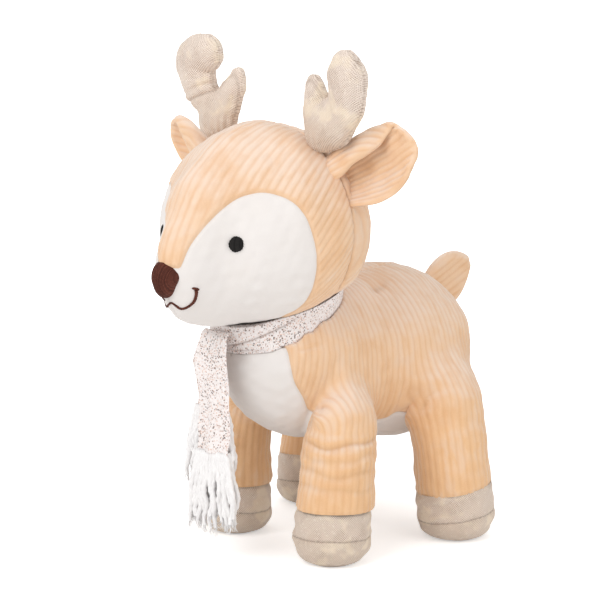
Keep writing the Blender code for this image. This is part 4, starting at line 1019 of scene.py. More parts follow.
def make_torso(materials):
    """Body panels and leg sleeves from one skin, so that they meet without steps."""
    skin, leg_share = torso_skin()
    rest = skin.clip(-skin.layers["on_leg"])
    flanks = rest.clip(-rest.layers["belly"])
    panels = (
        ("belly", rest.clip(rest.layers["belly"]), "velour_white", ["belly_panel", "body_stuffing"]),
        ("flank_left", flanks.clip(flanks.layers["side"]), "velour_tan", ["body_side_left"]),
        ("flank_right", flanks.clip(-flanks.layers["side"]), "velour_tan", ["body_side_right"]),
    )
    for name, part, slot, nodes in panels:
        thing = add_skin(name, part, materials[slot])
        settle(thing, "torso", nodes)
    for k, leg in enumerate(LEGS):
        place, side = leg
        others = np.delete(leg_share, k, axis=1).max(1)
        part = skin.clip(np.minimum(leg_share[:, k], leg_share[:, k] - others))
        part = part.clip(part.layers["height"] - HOOF_TOP - seam_bow(leg_angle(part.points, leg), leg))
        name = f"leg_{place}_{side}"
        thing = add_skin(f"{name}_skin", part, materials["velour_tan"])
        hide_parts(f"{name}_sleeve", f"{name}_stuffing")
        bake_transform(thing)


# Hooves

HOOF_ROUND = 0.02235
HOOF_SIZE = {"front": 0.957, "rear": 1.0}
HOOF_SHIFT = {"front": (-0.0009, -0.0010), "rear": (0.0, 0.0)}
HOOF_COLUMNS = 96
HOOF_ROWS = {
    "upper": np.concatenate([[-0.0006], np.linspace(0, 1, 30), [1.04]]),
    "sole": np.linspace(0, 1, 34),
}
# Share of the deeper gold for each hoof piece: the upper's own tone, and more on the sole as painted shade.
HOOF_GOLD_AND_SOLE_SHADE = {"upper": 1.0, "sole": 1.5}


def hoof_ring(leg, label, row, angles):
    """One ring of a hoof at a row from its bottom to its top, and how dark its seam is there."""
    place = leg[0]
    bow = seam_bow(angles, leg)
    if label == "upper":
        height = (SOLE_TOP + bow) * (1 - row) + (HOOF_TOP + bow) * row
    else:
        height = (SOLE_TOP + bow) * row ** 1.35
    flat = height - bow * np.clip(height / SOLE_TOP, 0, 1)
    x, y, radius = tube_at(leg, flat)
    x, y = x + HOOF_SHIFT[place][0], y + HOOF_SHIFT[place][1]
    from_seam = height - SOLE_TOP - bow
    from_top = HOOF_TOP + bow - height
    stitch = 0.00024 * np.sin(angles * 34 + 2 * np.sin(angles * 3))
    radius = radius * HOOF_SIZE[place] + 0.0012 * smoothstep(0.020, 0.029, flat)
    radius = radius - 0.0005 * bell(from_seam, 0.0009) + stitch * bell(from_seam, 0.0022)
    radius = radius - 0.0006 * bell(from_top, 0.0010)
    radius = radius + 0.0004 * np.sin(angles * 2 + 1.0) * smoothstep(0.002, 0.012, height)
    ring = np.column_stack([x + radius * np.cos(angles), y + radius * np.sin(angles), height])
    return ring, bell(from_seam, 0.00045) * (0.75 + 0.25 * np.sin(angles * 41))


def make_hoof(leg, label, materials):
    """The upper band or the bulging sole of a hoof, which meet along a stitched seam."""
    place, side = leg
    columns = HOOF_COLUMNS
    angles = np.linspace(0, 2 * pi, columns, endpoint=False)
    rings, crease = zip(*(hoof_ring(leg, label, row, angles) for row in HOOF_ROWS[label]))
    steps = [np.linalg.norm(ring - below, axis=1).mean() for below, ring in zip(rings, rings[1:])]
    run = np.concatenate([[0.0], np.cumsum(steps)])
    points = np.vstack(rings)
    crease = np.concatenate(crease)
    middle = rings[len(rings) // 2].mean(0)
    under = (label == "sole") & (points[:, 2] < 0.0004)
    weave_v = np.where(under, points[:, 1], np.repeat(run, columns))
    faces = grid_faces(len(rings), columns, closed_columns=True)
    if label == "sole":
        points = np.vstack([points, rings[0].mean(0)])
        crease = np.append(crease, 0.0)
        under = np.append(under, True)
        weave_v = np.append(weave_v, points[-1, 1])
        faces = [face[::-1] for face in faces]
        faces += [(j, (j + 1) % columns, len(points) - 1) for j in range(columns)]
    lump = 0.00035 * waves(points, 0.011, 21) * smoothstep(0.001, 0.006, points[:, 2])
    points[:, :2] += unit(points[:, :2] - middle[:2]) * lump[:, None]
    points = mirrored(points, side)
    name = f"hoof_{place}_{side}_{label}"
    layers = {"crease": crease, "weave_v": weave_v, "low": np.full(len(points), HOOF_GOLD_AND_SOLE_SHADE[label])}
    thing = add_grid(f"{name}_knit", points, orient(points, faces), materials["knit_gold"], layers)
    weave_round(thing, columns, np.where(under, points[:, 0], np.nan))
    settle(thing, f"leg_{place}_{side}", [name])


def make_hooves(materials):
    """The two pieces of each hoof."""
    for leg in LEGS:
        for label in HOOF_ROWS:
            make_hoof(leg, label, materials)


def weave_round(thing, columns, flat):
    """The weave's place round a closed grid, kept for each corner so that it never jumps back at the first
    column. Where flat holds a number, that is the place instead."""
    mesh = thing.data
    corners = np.zeros(len(mesh.loops), dtype=np.int32)
    mesh.loops.foreach_get("vertex_index", corners)
    totals = np.zeros(len(mesh.polygons), dtype=np.int32)
    mesh.polygons.foreach_get("loop_total", totals)
    face = np.repeat(np.arange(len(totals)), totals)
    column = corners % columns
    closing = np.zeros(len(totals), dtype=bool)
    np.logical_or.at(closing, face, column == columns - 1)
    column = np.where(closing[face] & (column == 0), columns, column)
    around = column * 2 * pi * HOOF_ROUND / columns
    places = np.where(np.isnan(flat[corners]), around, flat[corners])
    layer = mesh.attributes.new("weave_u", "FLOAT", "CORNER")
    layer.data.foreach_set("value", places.astype(np.float32))


def orient(points, faces):
    """Faces turned to point away from the middle of the shape."""
    centre = points.mean(0)
    score = 0.0
    for face in faces[::7]:
        a, b, c = (points[i] for i in face[:3])
        score += np.dot(np.cross(b - a, c - a), (a + b + c) / 3 - centre)
    return faces if score > 0 else [tuple(reversed(face)) for face in faces]


# Face details

def on_dome(direction, lift, radii, height, rows, columns, shape):
    """A low dome on the head about a direction: rings from its middle out to its edge, which dips into the
    head. Returns its points in the head's frame, its quads and each point's place across and along it."""
    direction = unit(np.array(direction, float))
    turn = np.array(Vector(direction).to_track_quat("Y", "Z").to_matrix())
    angles = np.linspace(0, 2 * pi, columns, endpoint=False)
    stretch = shape(angles)
    points, flat = [], []
    for row in range(rows + 1):
        share = row / rows
        across = radii[0] * stretch * np.cos(angles) * share
        along = radii[1] * stretch * np.sin(angles) * share
        raised = height * (1 - share ** 2.4) ** 0.6
        offset = np.column_stack([across, 0 * across, along]) @ turn.T
        base = on_head(on_head(direction)[0] + offset, lift)
        sunk = -0.0010 if row == rows else 0.0
        points.append(base + direction * (raised + sunk))
        flat.append(np.column_stack([across, along]))
    return np.vstack(points), grid_faces(rows + 1, columns, closed_columns=True), np.vstack(flat)


NOSE_DIRECTION = (-0.0006, -0.0850, -0.0172)
NOSE_RADII = (0.0097, 0.0096)
NOSE_HEIGHT = 0.0063
EYE_DIRECTION = (0.0273, -0.0563, 0.0019)
EYE_RADII = (0.0040, 0.0046)
EYE_HEIGHT = 0.0015
SMILE = (
    (-0.0140, -0.0741, -0.0232), (-0.0138, -0.0734, -0.0258), (-0.0130, -0.0733, -0.0296),
    (-0.0114, -0.0738, -0.0326), (-0.0090, -0.0745, -0.0344), (-0.0062, -0.0768, -0.0350),
    (-0.0036, -0.0790, -0.0342), (-0.0014, -0.0803, -0.0326), (0.0018, -0.0811, -0.0308),
    (0.0036, -0.0797, -0.0323),
    (0.0051, -0.0775, -0.0341), (0.0075, -0.0758, -0.0336), (0.0105, -0.0741, -0.0313),
    (0.0121, -0.0733, -0.0288), (0.0133, -0.0734, -0.0252), (0.0136, -0.0741, -0.0228),
)
SMILE_END = ((0.0125, -0.0761, -0.0216), (0.0136, -0.0741, -0.0222), (0.0145, -0.0726, -0.0229))
PHILTRUM = ((-0.0058, -0.0800, -0.0285), (-0.0045, -0.0808, -0.0293), (-0.0030, -0.0812, -0.0301))
# Each stitched line of the mouth, with its radius at its start, middle and end
MOUTH = (
    (SMILE, 0.00085, 0.00058, 0.00105),
    (SMILE_END, 0.00055, 0.00090, 0.00055),
    (PHILTRUM, 0.00040, 0.00040, 0.00040),
)


def nose_shape(angles):
    """How far the nose's outline reaches at angles round it: a rounded triangle that points down."""
    corners = 0.22 * bell(angles - radians(145), 0.55) + 0.07 * bell(angles - radians(30), 0.45)
    top = 0.20 * bell(angles - radians(86), 0.50)
    return 1 + 0.16 * np.cos(3 * (angles - radians(270))) + top - corners


def eye_shape(angles):
    """How far the eye's outline reaches at angles round it: uneven, as its stitches end."""
    return 1 + 0.025 * np.sin(angles * 17) + 0.02 * np.cos(angles * 5)


def make_face(materials):
    """The satin-stitched nose and eyes, and the stitched mouth."""
    rows, columns = 60, 240
    points, faces, flat = on_dome(NOSE_DIRECTION, 0.0003, NOSE_RADII, NOSE_HEIGHT, rows, columns, nose_shape)
    threads = np.sin((flat[:, 0] * 0.92 + flat[:, 1] * 0.38) * 2 * pi / 0.00090)
    rim = smoothstep(1.0, 0.9, np.repeat(np.arange(rows + 1) / rows, columns))
    points = points + unit(points) * (0.00016 * threads * rim)[:, None]
    thing = add_grid("nose_thread", from_head(points), faces, materials["thread_brown"])
    settle(thing, "head", ["nose"])
    points, faces, flat = on_dome(EYE_DIRECTION, 0.0001, EYE_RADII, EYE_HEIGHT, 16, 64, eye_shape)
    threads = np.sin((flat[:, 1] + 0.3 * flat[:, 0]) * 2 * pi / 0.0007)
    points = points + unit(points) * (0.00010 * threads)[:, None]
    for side, sign in SIGNS.items():
        placed = from_head(mirrored(points, side))
        outwards = faces if sign > 0 else [face[::-1] for face in faces]
        thing = add_grid(f"eye_{side}_thread", placed, outwards, materials["thread_black"])
        settle(thing, "head", [f"eye_{side}"])
    runs = []
    for path, start, middle, end in MOUTH:
        line = smooth_path(path, 6)
        share = np.linspace(0, 1, len(line))
        radii = middle + np.maximum(0, 1 - 2 * share) * (start - middle)
        radii += np.maximum(0, 2 * share - 1) * (end - middle)
        runs.append(tube(on_head(line, 0.0003), radii, 8, twist=0.16, pitch=0.0011))
    points, faces = joined(runs)
    thing = add_grid("mouth_thread", from_head(points), faces, materials["thread_brown"])
    settle(thing, "head", ["mouth_stitching"])


def tube(path, radii, sides, twist=0.0, pitch=0.001):
    """A closed tube along points, on which the twist of two plies stands up as ridges."""
    path = np.asarray(path, float)
    tangents = unit(np.gradient(path, axis=0))
    side = unit(np.cross(tangents[0], (0.31, 0.95, 0.07)))
    run = np.concatenate([[0], np.cumsum(np.linalg.norm(np.diff(path, axis=0), axis=1))])
    angles = np.linspace(0, 2 * pi, sides, endpoint=False)
    rings = []
    for point, tangent, radius, at in zip(path, tangents, np.broadcast_to(radii, len(path)), run):
        side = unit(side - tangent * (side @ tangent))
        other = np.cross(tangent, side)
        reach = radius * (1 + twist * np.cos(2 * angles - 2 * pi * at / pitch))
        around = np.outer(reach * np.cos(angles), side) + np.outer(reach * np.sin(angles), other)
        rings.append(point + around)
    points = np.vstack([*rings, path[:1], path[-1:]])
    quads = grid_faces(len(rings), sides, closed_columns=True)
    first, last = len(points) - 2, len(points) - 1
    tail = (len(rings) - 1) * sides
    for j in range(sides):
        k = (j + 1) % sides
        quads.append((k, first, j))
        quads.append((last, tail + k, tail + j))
    return points, quads


def joined(runs):
    """Several sets of points and faces as one."""
    points, faces, offset = [], [], 0
    for more, quads in runs:
        points.append(more)
        faces += [tuple(i + offset for i in quad) for quad in quads]
        offset += len(more)
    return np.vstack(points), faces


# Ears and tail

EAR_BASE = np.array((0.0490, 0.0140, 0.0300))
EAR_TIP = np.array((0.0890, 0.0222, 0.0545))
EAR_ACROSS = np.array((-0.46, 0.10, 0.88))
EAR_HINGE = np.array((0.0535, 0.0150, 0.0325))
EAR_DROOP = {"left": 0.0, "right": radians(1)}
EAR_TILT = {"left": 0.0, "right": radians(10)}
EAR_TWIST = {"left": 0.0, "right": radians(-27)}
EAR_SCALE = {"left": 1.0, "right": 0.92}
EAR_NARROWING = {"left": 1.0, "right": 0.72}
EAR_HOLLOW = {"left": 0.0062, "right": 0.0090}
EAR_UPPER = ((-0.12, 0.0140), (0.00, 0.0162), (0.25, 0.0187), (0.49, 0.0196), (0.67, 0.0190), (0.83, 0.0173),
             (0.93, 0.0137), (1.00, 0.0085), (1.045, 0.0020))
EAR_LOWER = ((-0.12, -0.0125), (0.00, -0.0145), (0.25, -0.0186), (0.44, -0.0196), (0.60, -0.0182),
             (0.78, -0.0148), (0.90, -0.0106), (0.99, -0.0060), (1.045, -0.0010))
EAR_LIP = ((-0.12, 0.0000), (0.00, 0.0006), (0.14, 0.0028), (0.30, 0.0050), (0.50, 0.0068), (0.62, 0.0086),
           (0.74, 0.0116), (0.84, 0.0140), (0.92, 0.0150), (1.05, 0.0160))
EAR_LENGTH = 1.045
EAR_START = -0.11
EAR_SUNK = 0.0012
EAR_THICKNESS = 0.0018
EAR_PITCH = 0.0040
# How many points of an ear's section lie in its hollow, round its roll and down its lip
EAR_STEPS = (40, 16, 14)


def curve_at(stations, value):
    """A smooth curve through (place, value) stations, read at one place."""
    fine = smooth_path(stations, 8)
    return float(np.interp(value, fine[:, 0], fine[:, 1]))


def ear_section(u, count, side):
    """The ear's cross-section at u from base to tip, as (across, forwards) points. Its upper margin rolls
    forwards and down over the hollow, and opens out towards the tip. Also gives each point's distance along
    the section from the ear's middle line, and the shade painted in the hollow under the roll."""
    upper, lower, lip = (curve_at(stations, u) for stations in (EAR_UPPER, EAR_LOWER, EAR_LIP))
    upper, lip = upper * EAR_NARROWING[side], lip * EAR_NARROWING[side]
    folded = 1 - float(smoothstep(0.82, 1.00, u))
    radius = min(0.0007 + 0.0026 * (1 - float(smoothstep(0.25, 0.90, u))), 0.2 * (upper - lower))
    turn = radians(172) * folded
    flap = max(upper - radius - lip, 0.0)
    wide = min(1.0, (upper - lower) / 0.028)
    hollow = EAR_HOLLOW[side] * (1 - 0.5 * max(u, 0)) * wide
    in_hollow, in_roll, in_lip = EAR_STEPS
    fine = []
    for share in np.linspace(0, 1, in_hollow):
        across = lower + (upper - radius * sin(min(turn, pi / 2)) - lower) * share
        middle = abs(2 * share - 1)
        lift = hollow * (middle ** 2 - 0.55) + 0.0030 * (1 - share) ** 3 * (1 - 0.5 * u) * wide
        fine.append((across, lift - 0.0035 * sin(pi * min(max(u, 0), 1))))
    across, height = fine[-1]
    for share in np.linspace(0, 1, in_roll)[1:]:
        angle = turn * share
        fine.append((across + radius * sin(angle), height + radius * (1 - cos(angle))))
    across, height = fine[-1]
    for share in np.linspace(0, 1, in_lip)[1:]:
        run = flap * share
        curl = 0.0014 * sin(pi * share) * folded * (1 - 0.7 * float(smoothstep(0.4, 0.8, u)))
        fine.append((across + cos(turn) * run, height + sin(turn) * run + curl))
    fine = np.array(fine)
    run = np.concatenate([[0], np.cumsum(np.hypot(*np.diff(fine, axis=0).T))])
    at = np.linspace(0, run[-1], count)
    # Painted shade in the hollow under the roll, fading towards the tip.
    under = bell(fine[:, 0] - lip - 0.0010, 0.0042) * (np.arange(len(fine)) < in_hollow)
    shade = np.interp(at, run, under) * (1 - float(smoothstep(0.20, 0.62, u)))
    section = np.column_stack([np.interp(at, run, fine[:, k]) for k in range(2)])
    for _ in range(3):
        section[1:-1] = (section[:-2] + 2 * section[1:-1] + section[2:]) / 4
    middle = np.interp(0.0, fine[:in_hollow, 0], run[:in_hollow])
    return section, at - middle, shade


def towards_tip(start, end, rows):
    """Places from base to tip, closer together at the tip."""
    return start + (end - start) * np.sin(np.linspace(0, pi / 2, rows)) ** 0.9


def flap_axes(base, tip, across):
    """Length of a flap of cloth and its three directions: along it, across it and out of it."""
    along = tip - base
    length = np.linalg.norm(along)
    along = along / length
    across = unit(across - along * (across @ along))
    return length, along, across, np.cross(along, across)


def two_layers(points, phase, thickness, edge, shade):
    """A sheet's two faces as skins: each leaves the middle surface at the sheet's edge and is full at a
    distance from it. Points come as a grid of rows along the sheet."""
    rows, columns = points.shape[:2]
    flat = points.reshape(-1, 3)
    quads = np.array(grid_faces(rows, columns))
    normals = Skin(flat, triangles_of(quads)).normals()
    phase, edge, shade = phase.ravel(), edge.ravel(), shade.ravel()
    full = np.sqrt(np.clip(1 - (1 - np.clip(edge / (thickness * 0.9), 0, 1)) ** 2, 0, 1))
    pile = smoothstep(0.0008, 0.0028, edge)
    lift = thickness * full + RIB_HEIGHT * rib_profile(phase) * pile - 0.0004 * (1 - pile) * full
    skins = {}
    for label, sign in (("front", 1), ("back", -1)):
        triangles = triangles_of(quads if sign > 0 else quads[:, ::-1])
        # The front face takes the painted shade, such as that under the ear's roll, as its crease layer.
        layers = {"rib": phase, "pile": pile, "crease": shade * (sign > 0)}
        skins[label] = Skin(flat + normals * (sign * lift)[:, None], triangles, layers)
    return skins


def ear_skins(side, axes):
    """The two layers of an ear, as a left ear that is neither drooped nor twisted."""
    length, along, across, normal = axes
    rows, columns = ((84, 96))
    reach = length * EAR_SCALE[side]
    grid, phase, edge, shade = [], [], [], []
    for u in towards_tip(EAR_START, EAR_LENGTH, rows):
        section, arc, dark = ear_section(min(u, EAR_LENGTH - 0.0005), columns, side)
        # Painted shade under the ear's roll.
        shade.append(dark * 0.80)
        grid.append(EAR_BASE + along * (reach * u) + np.outer(section[:, 0], across)
                    + np.outer(section[:, 1], normal))
        phase.append(arc / (EAR_PITCH * (0.80 + 0.30 * u)))
        to_sides = np.minimum(arc - arc[0], arc[-1] - arc)
        edge.append(np.minimum(to_sides, (EAR_LENGTH - u) * reach * 0.8))
    return two_layers(np.array(grid), np.array(phase), EAR_THICKNESS, np.array(edge), np.array(shade))


def make_ears(materials):
    """Each ear is a front and a back layer of ribbed cloth, rolled forwards along its upper margin."""
    axes = flap_axes(EAR_BASE, EAR_TIP, EAR_ACROSS)
    _, along, _, normal = axes
    for side, sign in SIGNS.items():
        flip = np.array((sign, 1, 1))
        hinge = EAR_HINGE * flip
        pose = (turn_about(EAR_ACROSS * flip, EAR_DROOP[side]) @ turn_about(normal * flip, EAR_TILT[side])
                @ turn_about(along * flip, EAR_TWIST[side]))
        for label, skin in ear_skins(side, axes).items():
            points = (skin.points * flip - hinge) @ pose.T + hinge
            points += (0.0005 * waves(points, 0.016, 31))[:, None] * (normal * flip)
            triangles = skin.triangles if sign > 0 else skin.triangles[:, ::-1]
            above = np.linalg.norm(points, axis=1) - head_reach(unit(points)) + EAR_SUNK
            part = Skin(points, triangles, skin.layers).clip(above)
            part.points = from_head(part.points)
            thing = add_skin(f"ear_{side}_{label}_layer", part, materials["velour_tan"])
            settle(thing, f"ear_{side}", [f"ear_{side}_{label}"])


TAIL_BASE = np.array((0.0, 0.0800, 0.1350))
TAIL_TIP = np.array((0.0, 0.1195, 0.1490))
TAIL_ACROSS = np.array((0.0, -0.35, 0.94))
TAIL_HALF_WIDTH = 0.0142
TAIL_THICKNESS = 0.0034
TAIL_PITCH = 0.0046
TAIL_SUNK = 0.0012


def make_tail(materials):
    """A short puffed tail of two ribbed layers."""
    rows, columns = 72, 48
    length, along, across, normal = flap_axes(TAIL_BASE, TAIL_TIP, TAIL_ACROSS)
    v = np.sin(np.linspace(-pi / 2, pi / 2, columns))
    grid, phase, edge = [], [], []
    for u in towards_tip(-0.10, 1.0, rows):
        belly = sin(pi * min(max(u * 0.93 + 0.05, 0.03), 0.985)) ** 0.62
        width = TAIL_HALF_WIDTH * (0.30 * (1 - u) + belly)
        bend = 0.0016 * sin(pi * u) * v ** 2 - 0.0010 * u
        place = TAIL_BASE + along * (length * u) + np.outer(v * width, across) + np.outer(bend, normal)
        place[:, 2] += 0.0015 * max(u, 0) ** 2
        grid.append(place)
        phase.append(v * width / (TAIL_PITCH * (0.85 + 0.2 * u)) + 0.5)
        edge.append(np.minimum((1 - np.abs(v)) * width, (1 - u) * length))
    shade = np.zeros((rows, columns))
    skins = two_layers(np.array(grid), np.array(phase), TAIL_THICKNESS, np.array(edge) * 0.55, shade)
    left_first = sorted(skins.values(), key=lambda skin: -skin.normals()[:, 0].mean())
    for side, skin in zip(SIGNS, left_first):
        part = skin.clip(body_field(skin.points) + TAIL_SUNK)
        thing = add_skin(f"tail_{side}_layer", part, materials["velour_tan"])
        settle(thing, "tail", [f"tail_{side}_panel"])


# Antlers

ANTLER_FOOT = np.array((0.0375, 0.0060, 0.0560))
ANTLER_MAIN = {
    "left": (
        (0.0375, 0.0060, 0.0560, 0.0070), (0.0380, 0.0060, 0.0588, 0.0117), (0.0461, 0.0058, 0.0671, 0.0123),
        (0.0542, 0.0052, 0.0753, 0.0118), (0.0563, 0.0044, 0.0885, 0.0124), (0.0549, 0.0040, 0.0935, 0.0113),
        (0.0544, 0.0036, 0.0988, 0.0087),
    ),
    "right": (
        (0.0375, 0.0060, 0.0560, 0.0070), (0.0386, 0.0060, 0.0587, 0.0101), (0.0472, 0.0058, 0.0670, 0.0094),
        (0.0538, 0.0052, 0.0758, 0.0104), (0.0558, 0.0048, 0.0830, 0.0120), (0.0575, 0.0044, 0.0899, 0.0124),
        (0.0529, 0.0040, 0.0950, 0.0126), (0.0492, 0.0036, 0.0965, 0.0115),
    ),
}
ANTLER_TINE = {
    "left": (
        (0.0438, 0.0060, 0.0631, 0.0139), (0.0358, 0.0065, 0.0671, 0.0110), (0.0313, 0.0072, 0.0762, 0.0081),
        (0.0291, 0.0078, 0.0826, 0.0066), (0.0285, 0.0080, 0.0863, 0.0049),
    ),
    "right": (
        (0.0428, 0.0060, 0.0589, 0.0117), (0.0354, 0.0065, 0.0671, 0.0095), (0.0309, 0.0072, 0.0764, 0.0076),
        (0.0289, 0.0078, 0.0810, 0.0061), (0.0278, 0.0080, 0.0852, 0.0046),
    ),
}
ANTLER_FLATTEN = 0.80


def antler_field(points, side):
    """Two plump lobes that leave one gathered foot."""
    lobes = []
    for stations in (ANTLER_MAIN[side], ANTLER_TINE[side]):
        path = smooth_path(stations, 7)
        nearest = np.full(len(points), 1.0)
        for x, y, z, radius in path:
            away = (points - (x, y, z)) / (1.0, ANTLER_FLATTEN, 1.0)
            nearest = np.minimum(nearest, np.sqrt((away * away).sum(1)) - radius)
        lobes.append(nearest)
    return smooth_min(lobes[0], lobes[1], 0.0022)


def antler_folds(points, crease):
    """The right antler is folded above its fork: how far the fold lifts the skin, and the shade painted into
    its crease.
    """
    x, y, z = points.T
    tilt = z - 0.0735 + 0.45 * (x - 0.046)
    reach = smoothstep(0.0375, 0.043, x) * smoothstep(0.006, 0.001, y)
    lift = -0.0009 * reach * bell(tilt, 0.0010)
    lift += 0.0003 * reach * bell(tilt - 0.0026, 0.0018)
    lift -= 0.0006 * reach * bell(tilt - 0.0056, 0.0012)
    # Painted shade along the fold's crease.
    return lift, np.maximum(crease, 0.35 * reach * bell(tilt, 0.0007))


def make_antlers(materials):
    """Each antler is two halves of metallic knit, sewn along the rim and gathered at the foot."""
    voxel = ANTLER_VOXEL
    for side, sign in SIGNS.items():
        skin = skin_of_field(lambda places: antler_field(places, side), (0.014, -0.014, 0.040),
                             (0.076, 0.026, 0.120), voxel)
        skin = skin.clip(np.linalg.norm(skin.points, axis=1) - HEAD_RADIUS - 0.0002)
        points = skin.points
        from_foot = points - ANTLER_FOOT
        height = from_foot[:, 2]
        seam = from_foot[:, 1] + 0.0005 + 0.045 * height
        around = np.arctan2(from_foot[:, 1], from_foot[:, 0])
        gather = smoothstep(0.010, 0.002, height)
        lift = 0.00035 * waves(points, 0.017, 40 + sign) + 0.00012 * waves(points, 0.005, 43)
        lift -= 0.0005 * bell(seam, 0.0008)
        lift += 0.00007 * np.sin((points[:, 2] + points[:, 0]) * 2 * pi / 0.0031) * bell(seam, 0.0028)
        lift += 0.00030 * np.sin(around * 13) * gather - 0.0004 * gather
        crease = 0.30 * bell(seam, 0.0006)
        if side == "right":
            fold, crease = antler_folds(points, crease)
            lift += fold
        skin.layers = {"crease": crease, "low": 0.9 * smoothstep(0.024, 0.006, height),
                       "weave_u": points[:, 0], "weave_v": points[:, 2]}
        skin.points = from_head(mirrored(points + skin.normals() * lift[:, None], side))
        if sign < 0:
            skin.triangles = skin.triangles[:, ::-1]
        skin.layers["shade_normal"] = skin.normals()
        for label, part in (("front", -seam), ("back", seam)):
            thing = add_skin(f"antler_{side}_{label}_knit", skin.clip(part), materials["knit_gold"])
            nodes = [f"antler_{side}_{label}_panel"]
            if label == "front":
                nodes.append(f"antler_{side}_stuffing")
            settle(thing, f"antler_{side}", nodes)


# Scarf

SCARF_FRONT = {"x": 0.0000, "y": -0.0970, "top": 0.1372, "hem": 0.0660,
               "lean": radians(-2), "low": radians(8)}
SCARF_REAR = {"x": -0.0075, "y": -0.0915, "top": 0.1290, "hem": 0.0900,
              "lean": radians(6), "low": radians(6)}
STRIP_WIDTH = 0.0230
STRIP_THICKNESS = 0.0013
BAND_TUCK = 0.0080
# Each tail's place, with the length, number and spread of its fringe's strands and a seed
FRINGES = (
    ("front", SCARF_FRONT, 0.0440, 32, 0.0058, 61),
    ("rear", SCARF_REAR, 0.0420, 24, 0.0062, 64),
)


def band_folds(share, signed):
    """How far the band's folds lift its outer face, and the shade painted into them, at a share of its width
    and at degrees round the neck from the front."""
    main = smoothstep(-4, 6, signed) * smoothstep(64, 44, signed)
    main_at = 0.74 - 0.0095 * (signed - 2)
    second = smoothstep(-2, 5, signed) * smoothstep(34, 20, signed)
    second_at = 0.86 + 0.002 * signed
    behind = smoothstep(70, 95, np.abs(signed))
    behind_at = 0.45 + 0.12 * np.sin(np.radians(signed * 3))
    lift = -0.0011 * main * bell(share - main_at, 0.050)
    lift += 0.0007 * main * bell(share - main_at + 0.16, 0.10)
    lift -= 0.0006 * second * bell(share - second_at, 0.035)
    lift -= 0.0006 * behind * bell(share - behind_at, 0.07)
    shade = 0.9 * main * bell(share - main_at, 0.030) + 0.6 * second * bell(share - second_at, 0.025)
    return lift, shade


def make_band(materials):
    """The scarf's band round the neck: a soft flat roll with a fold that slants up from the tuck."""
    steps, rows = ((300, 26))
    sideways = np.array((1.0, 0.0, 0.0))
    forwards = np.cross(sideways, NECK_AXIS)
    turns = np.linspace(0, 360, steps, endpoint=False)
    signed = np.where(turns > 180, turns - 360, turns)
    across, ahead = np.sin(np.radians(turns)), np.cos(np.radians(turns))
    outwards = np.outer(ahead, forwards) + np.outer(across, sideways)
    top_radius, top_drop = (station_at(BAND_TOP, np.abs(signed), k) for k in (1, 2))
    low_radius, low_drop = (station_at(BAND_LOW, np.abs(signed), k) for k in (1, 2))
    loop = [(share, 1, 0.0) for share in np.linspace(0, 1, rows)]
    loop += [(share, -1, 0.0) for share in np.linspace(1, 0, rows)]
    loop += [(0.0, -1, tuck) for tuck in np.linspace(0, 1, 7)[1:]]
    loop += [(0.0, 1, tuck) for tuck in np.linspace(1, 0, 7)[:-1]]
    rings, crease = [], []
    for share, face, tuck in loop:
        fold, shade = band_folds(share, signed)
        place = np.column_stack([across * 0.040, ahead * 0.040, np.full(steps, share * 0.060)])
        fold += 0.00040 * waves(place, 0.030, 51)
        edge = 1 - (2 * share - 1) ** 6 * (1.0 if share < 0.5 else 0.5)
        half = BAND_THICKNESS / 2 * (0.15 + 0.85 * edge) * (1.0 if face > 0 else 0.6)
        radius = top_radius * (1 - share) + low_radius * share + BAND_THICKNESS / 2
        radius = radius + fold + face * half - BAND_TUCK * tuck
        drop = top_drop * (1 - share) + low_drop * share
        drop = drop + 0.0006 * smoothstep(0.7, 1.0, share) - 0.0014 * smoothstep(0.30, 0.0, share)
        away = outwards * radius[:, None] - drop[:, None] * NECK_AXIS
        distance = np.linalg.norm(away, axis=1)
        closest = swept_reach(unit(away)) + HEAD_CLEARANCE * (0.3 if face > 0 else 0.8)
        rings.append(HEAD_CENTRE + unit(away) * np.maximum(distance * (tuck == 0), closest)[:, None])
        # Painted shade in the folds of the outer face.
        crease.append(shade * (face > 0) * (tuck == 0))
    faces = grid_faces(len(rings), steps, closed_rows=True, closed_columns=True)
    thing = add_grid("scarf_band_cloth", np.vstack(rings), [face[::-1] for face in faces],
                     materials["scarf_cloth"], {"crease": np.concatenate(crease)})
    settle(thing, "torso", ["scarf_band"])


def strip_axes(lean):
    """Directions across a hanging strip and out of it, for a strip turned by an angle."""
    return np.array((cos(lean), sin(lean), 0.0)), np.array((sin(lean), -cos(lean), 0.0))


def strip_row(spec, u, v, face, seed):
    """One row of a face of a hanging strip, at a share u of its drop and places v across it."""
    side, out = strip_axes(spec["lean"] + (spec["low"] - spec["lean"]) * float(smoothstep(0.02, 0.30, u)))
    down = (spec["top"] - spec["hem"]) * u
    depth = 0.0011 - 0.0008 * smoothstep(-0.1, 0.5, v)
    fold = depth * (0.4 + 0.6 * u) * np.cos(pi * 1.5 * v) * smoothstep(0.0, 0.15, u)
    place = np.column_stack([v * 0.5 * STRIP_WIDTH, np.full(len(v), down * 0.8), np.zeros(len(v))])
    fold = fold + 0.0012 * sin(2.2 * pi * u) + 0.00055 * waves(place, 0.016, seed)
    rolled = max(0.0, 1 - down / 0.0035)
    back = -0.0030 * rolled ** 2
    width = STRIP_WIDTH / 2 * (1 - 0.05 * rolled)
    left = 0.0011 * sin(down * 2 * pi / 0.036 + 1.2) + 0.0005 * sin(down * 2 * pi / 0.015)
    right = 0.0006 * sin(down * 2 * pi / 0.05)
    across = v * width + np.where(v < 0, left, right) * v * v
    thick = STRIP_THICKNESS / 2 * np.sqrt(np.clip(1 - np.abs(v) ** 10, 0.02, 1))
    middle = np.array((spec["x"], spec["y"], spec["top"] - down))
    return middle + np.outer(across, side) + np.outer(fold + back + face * thick, out)


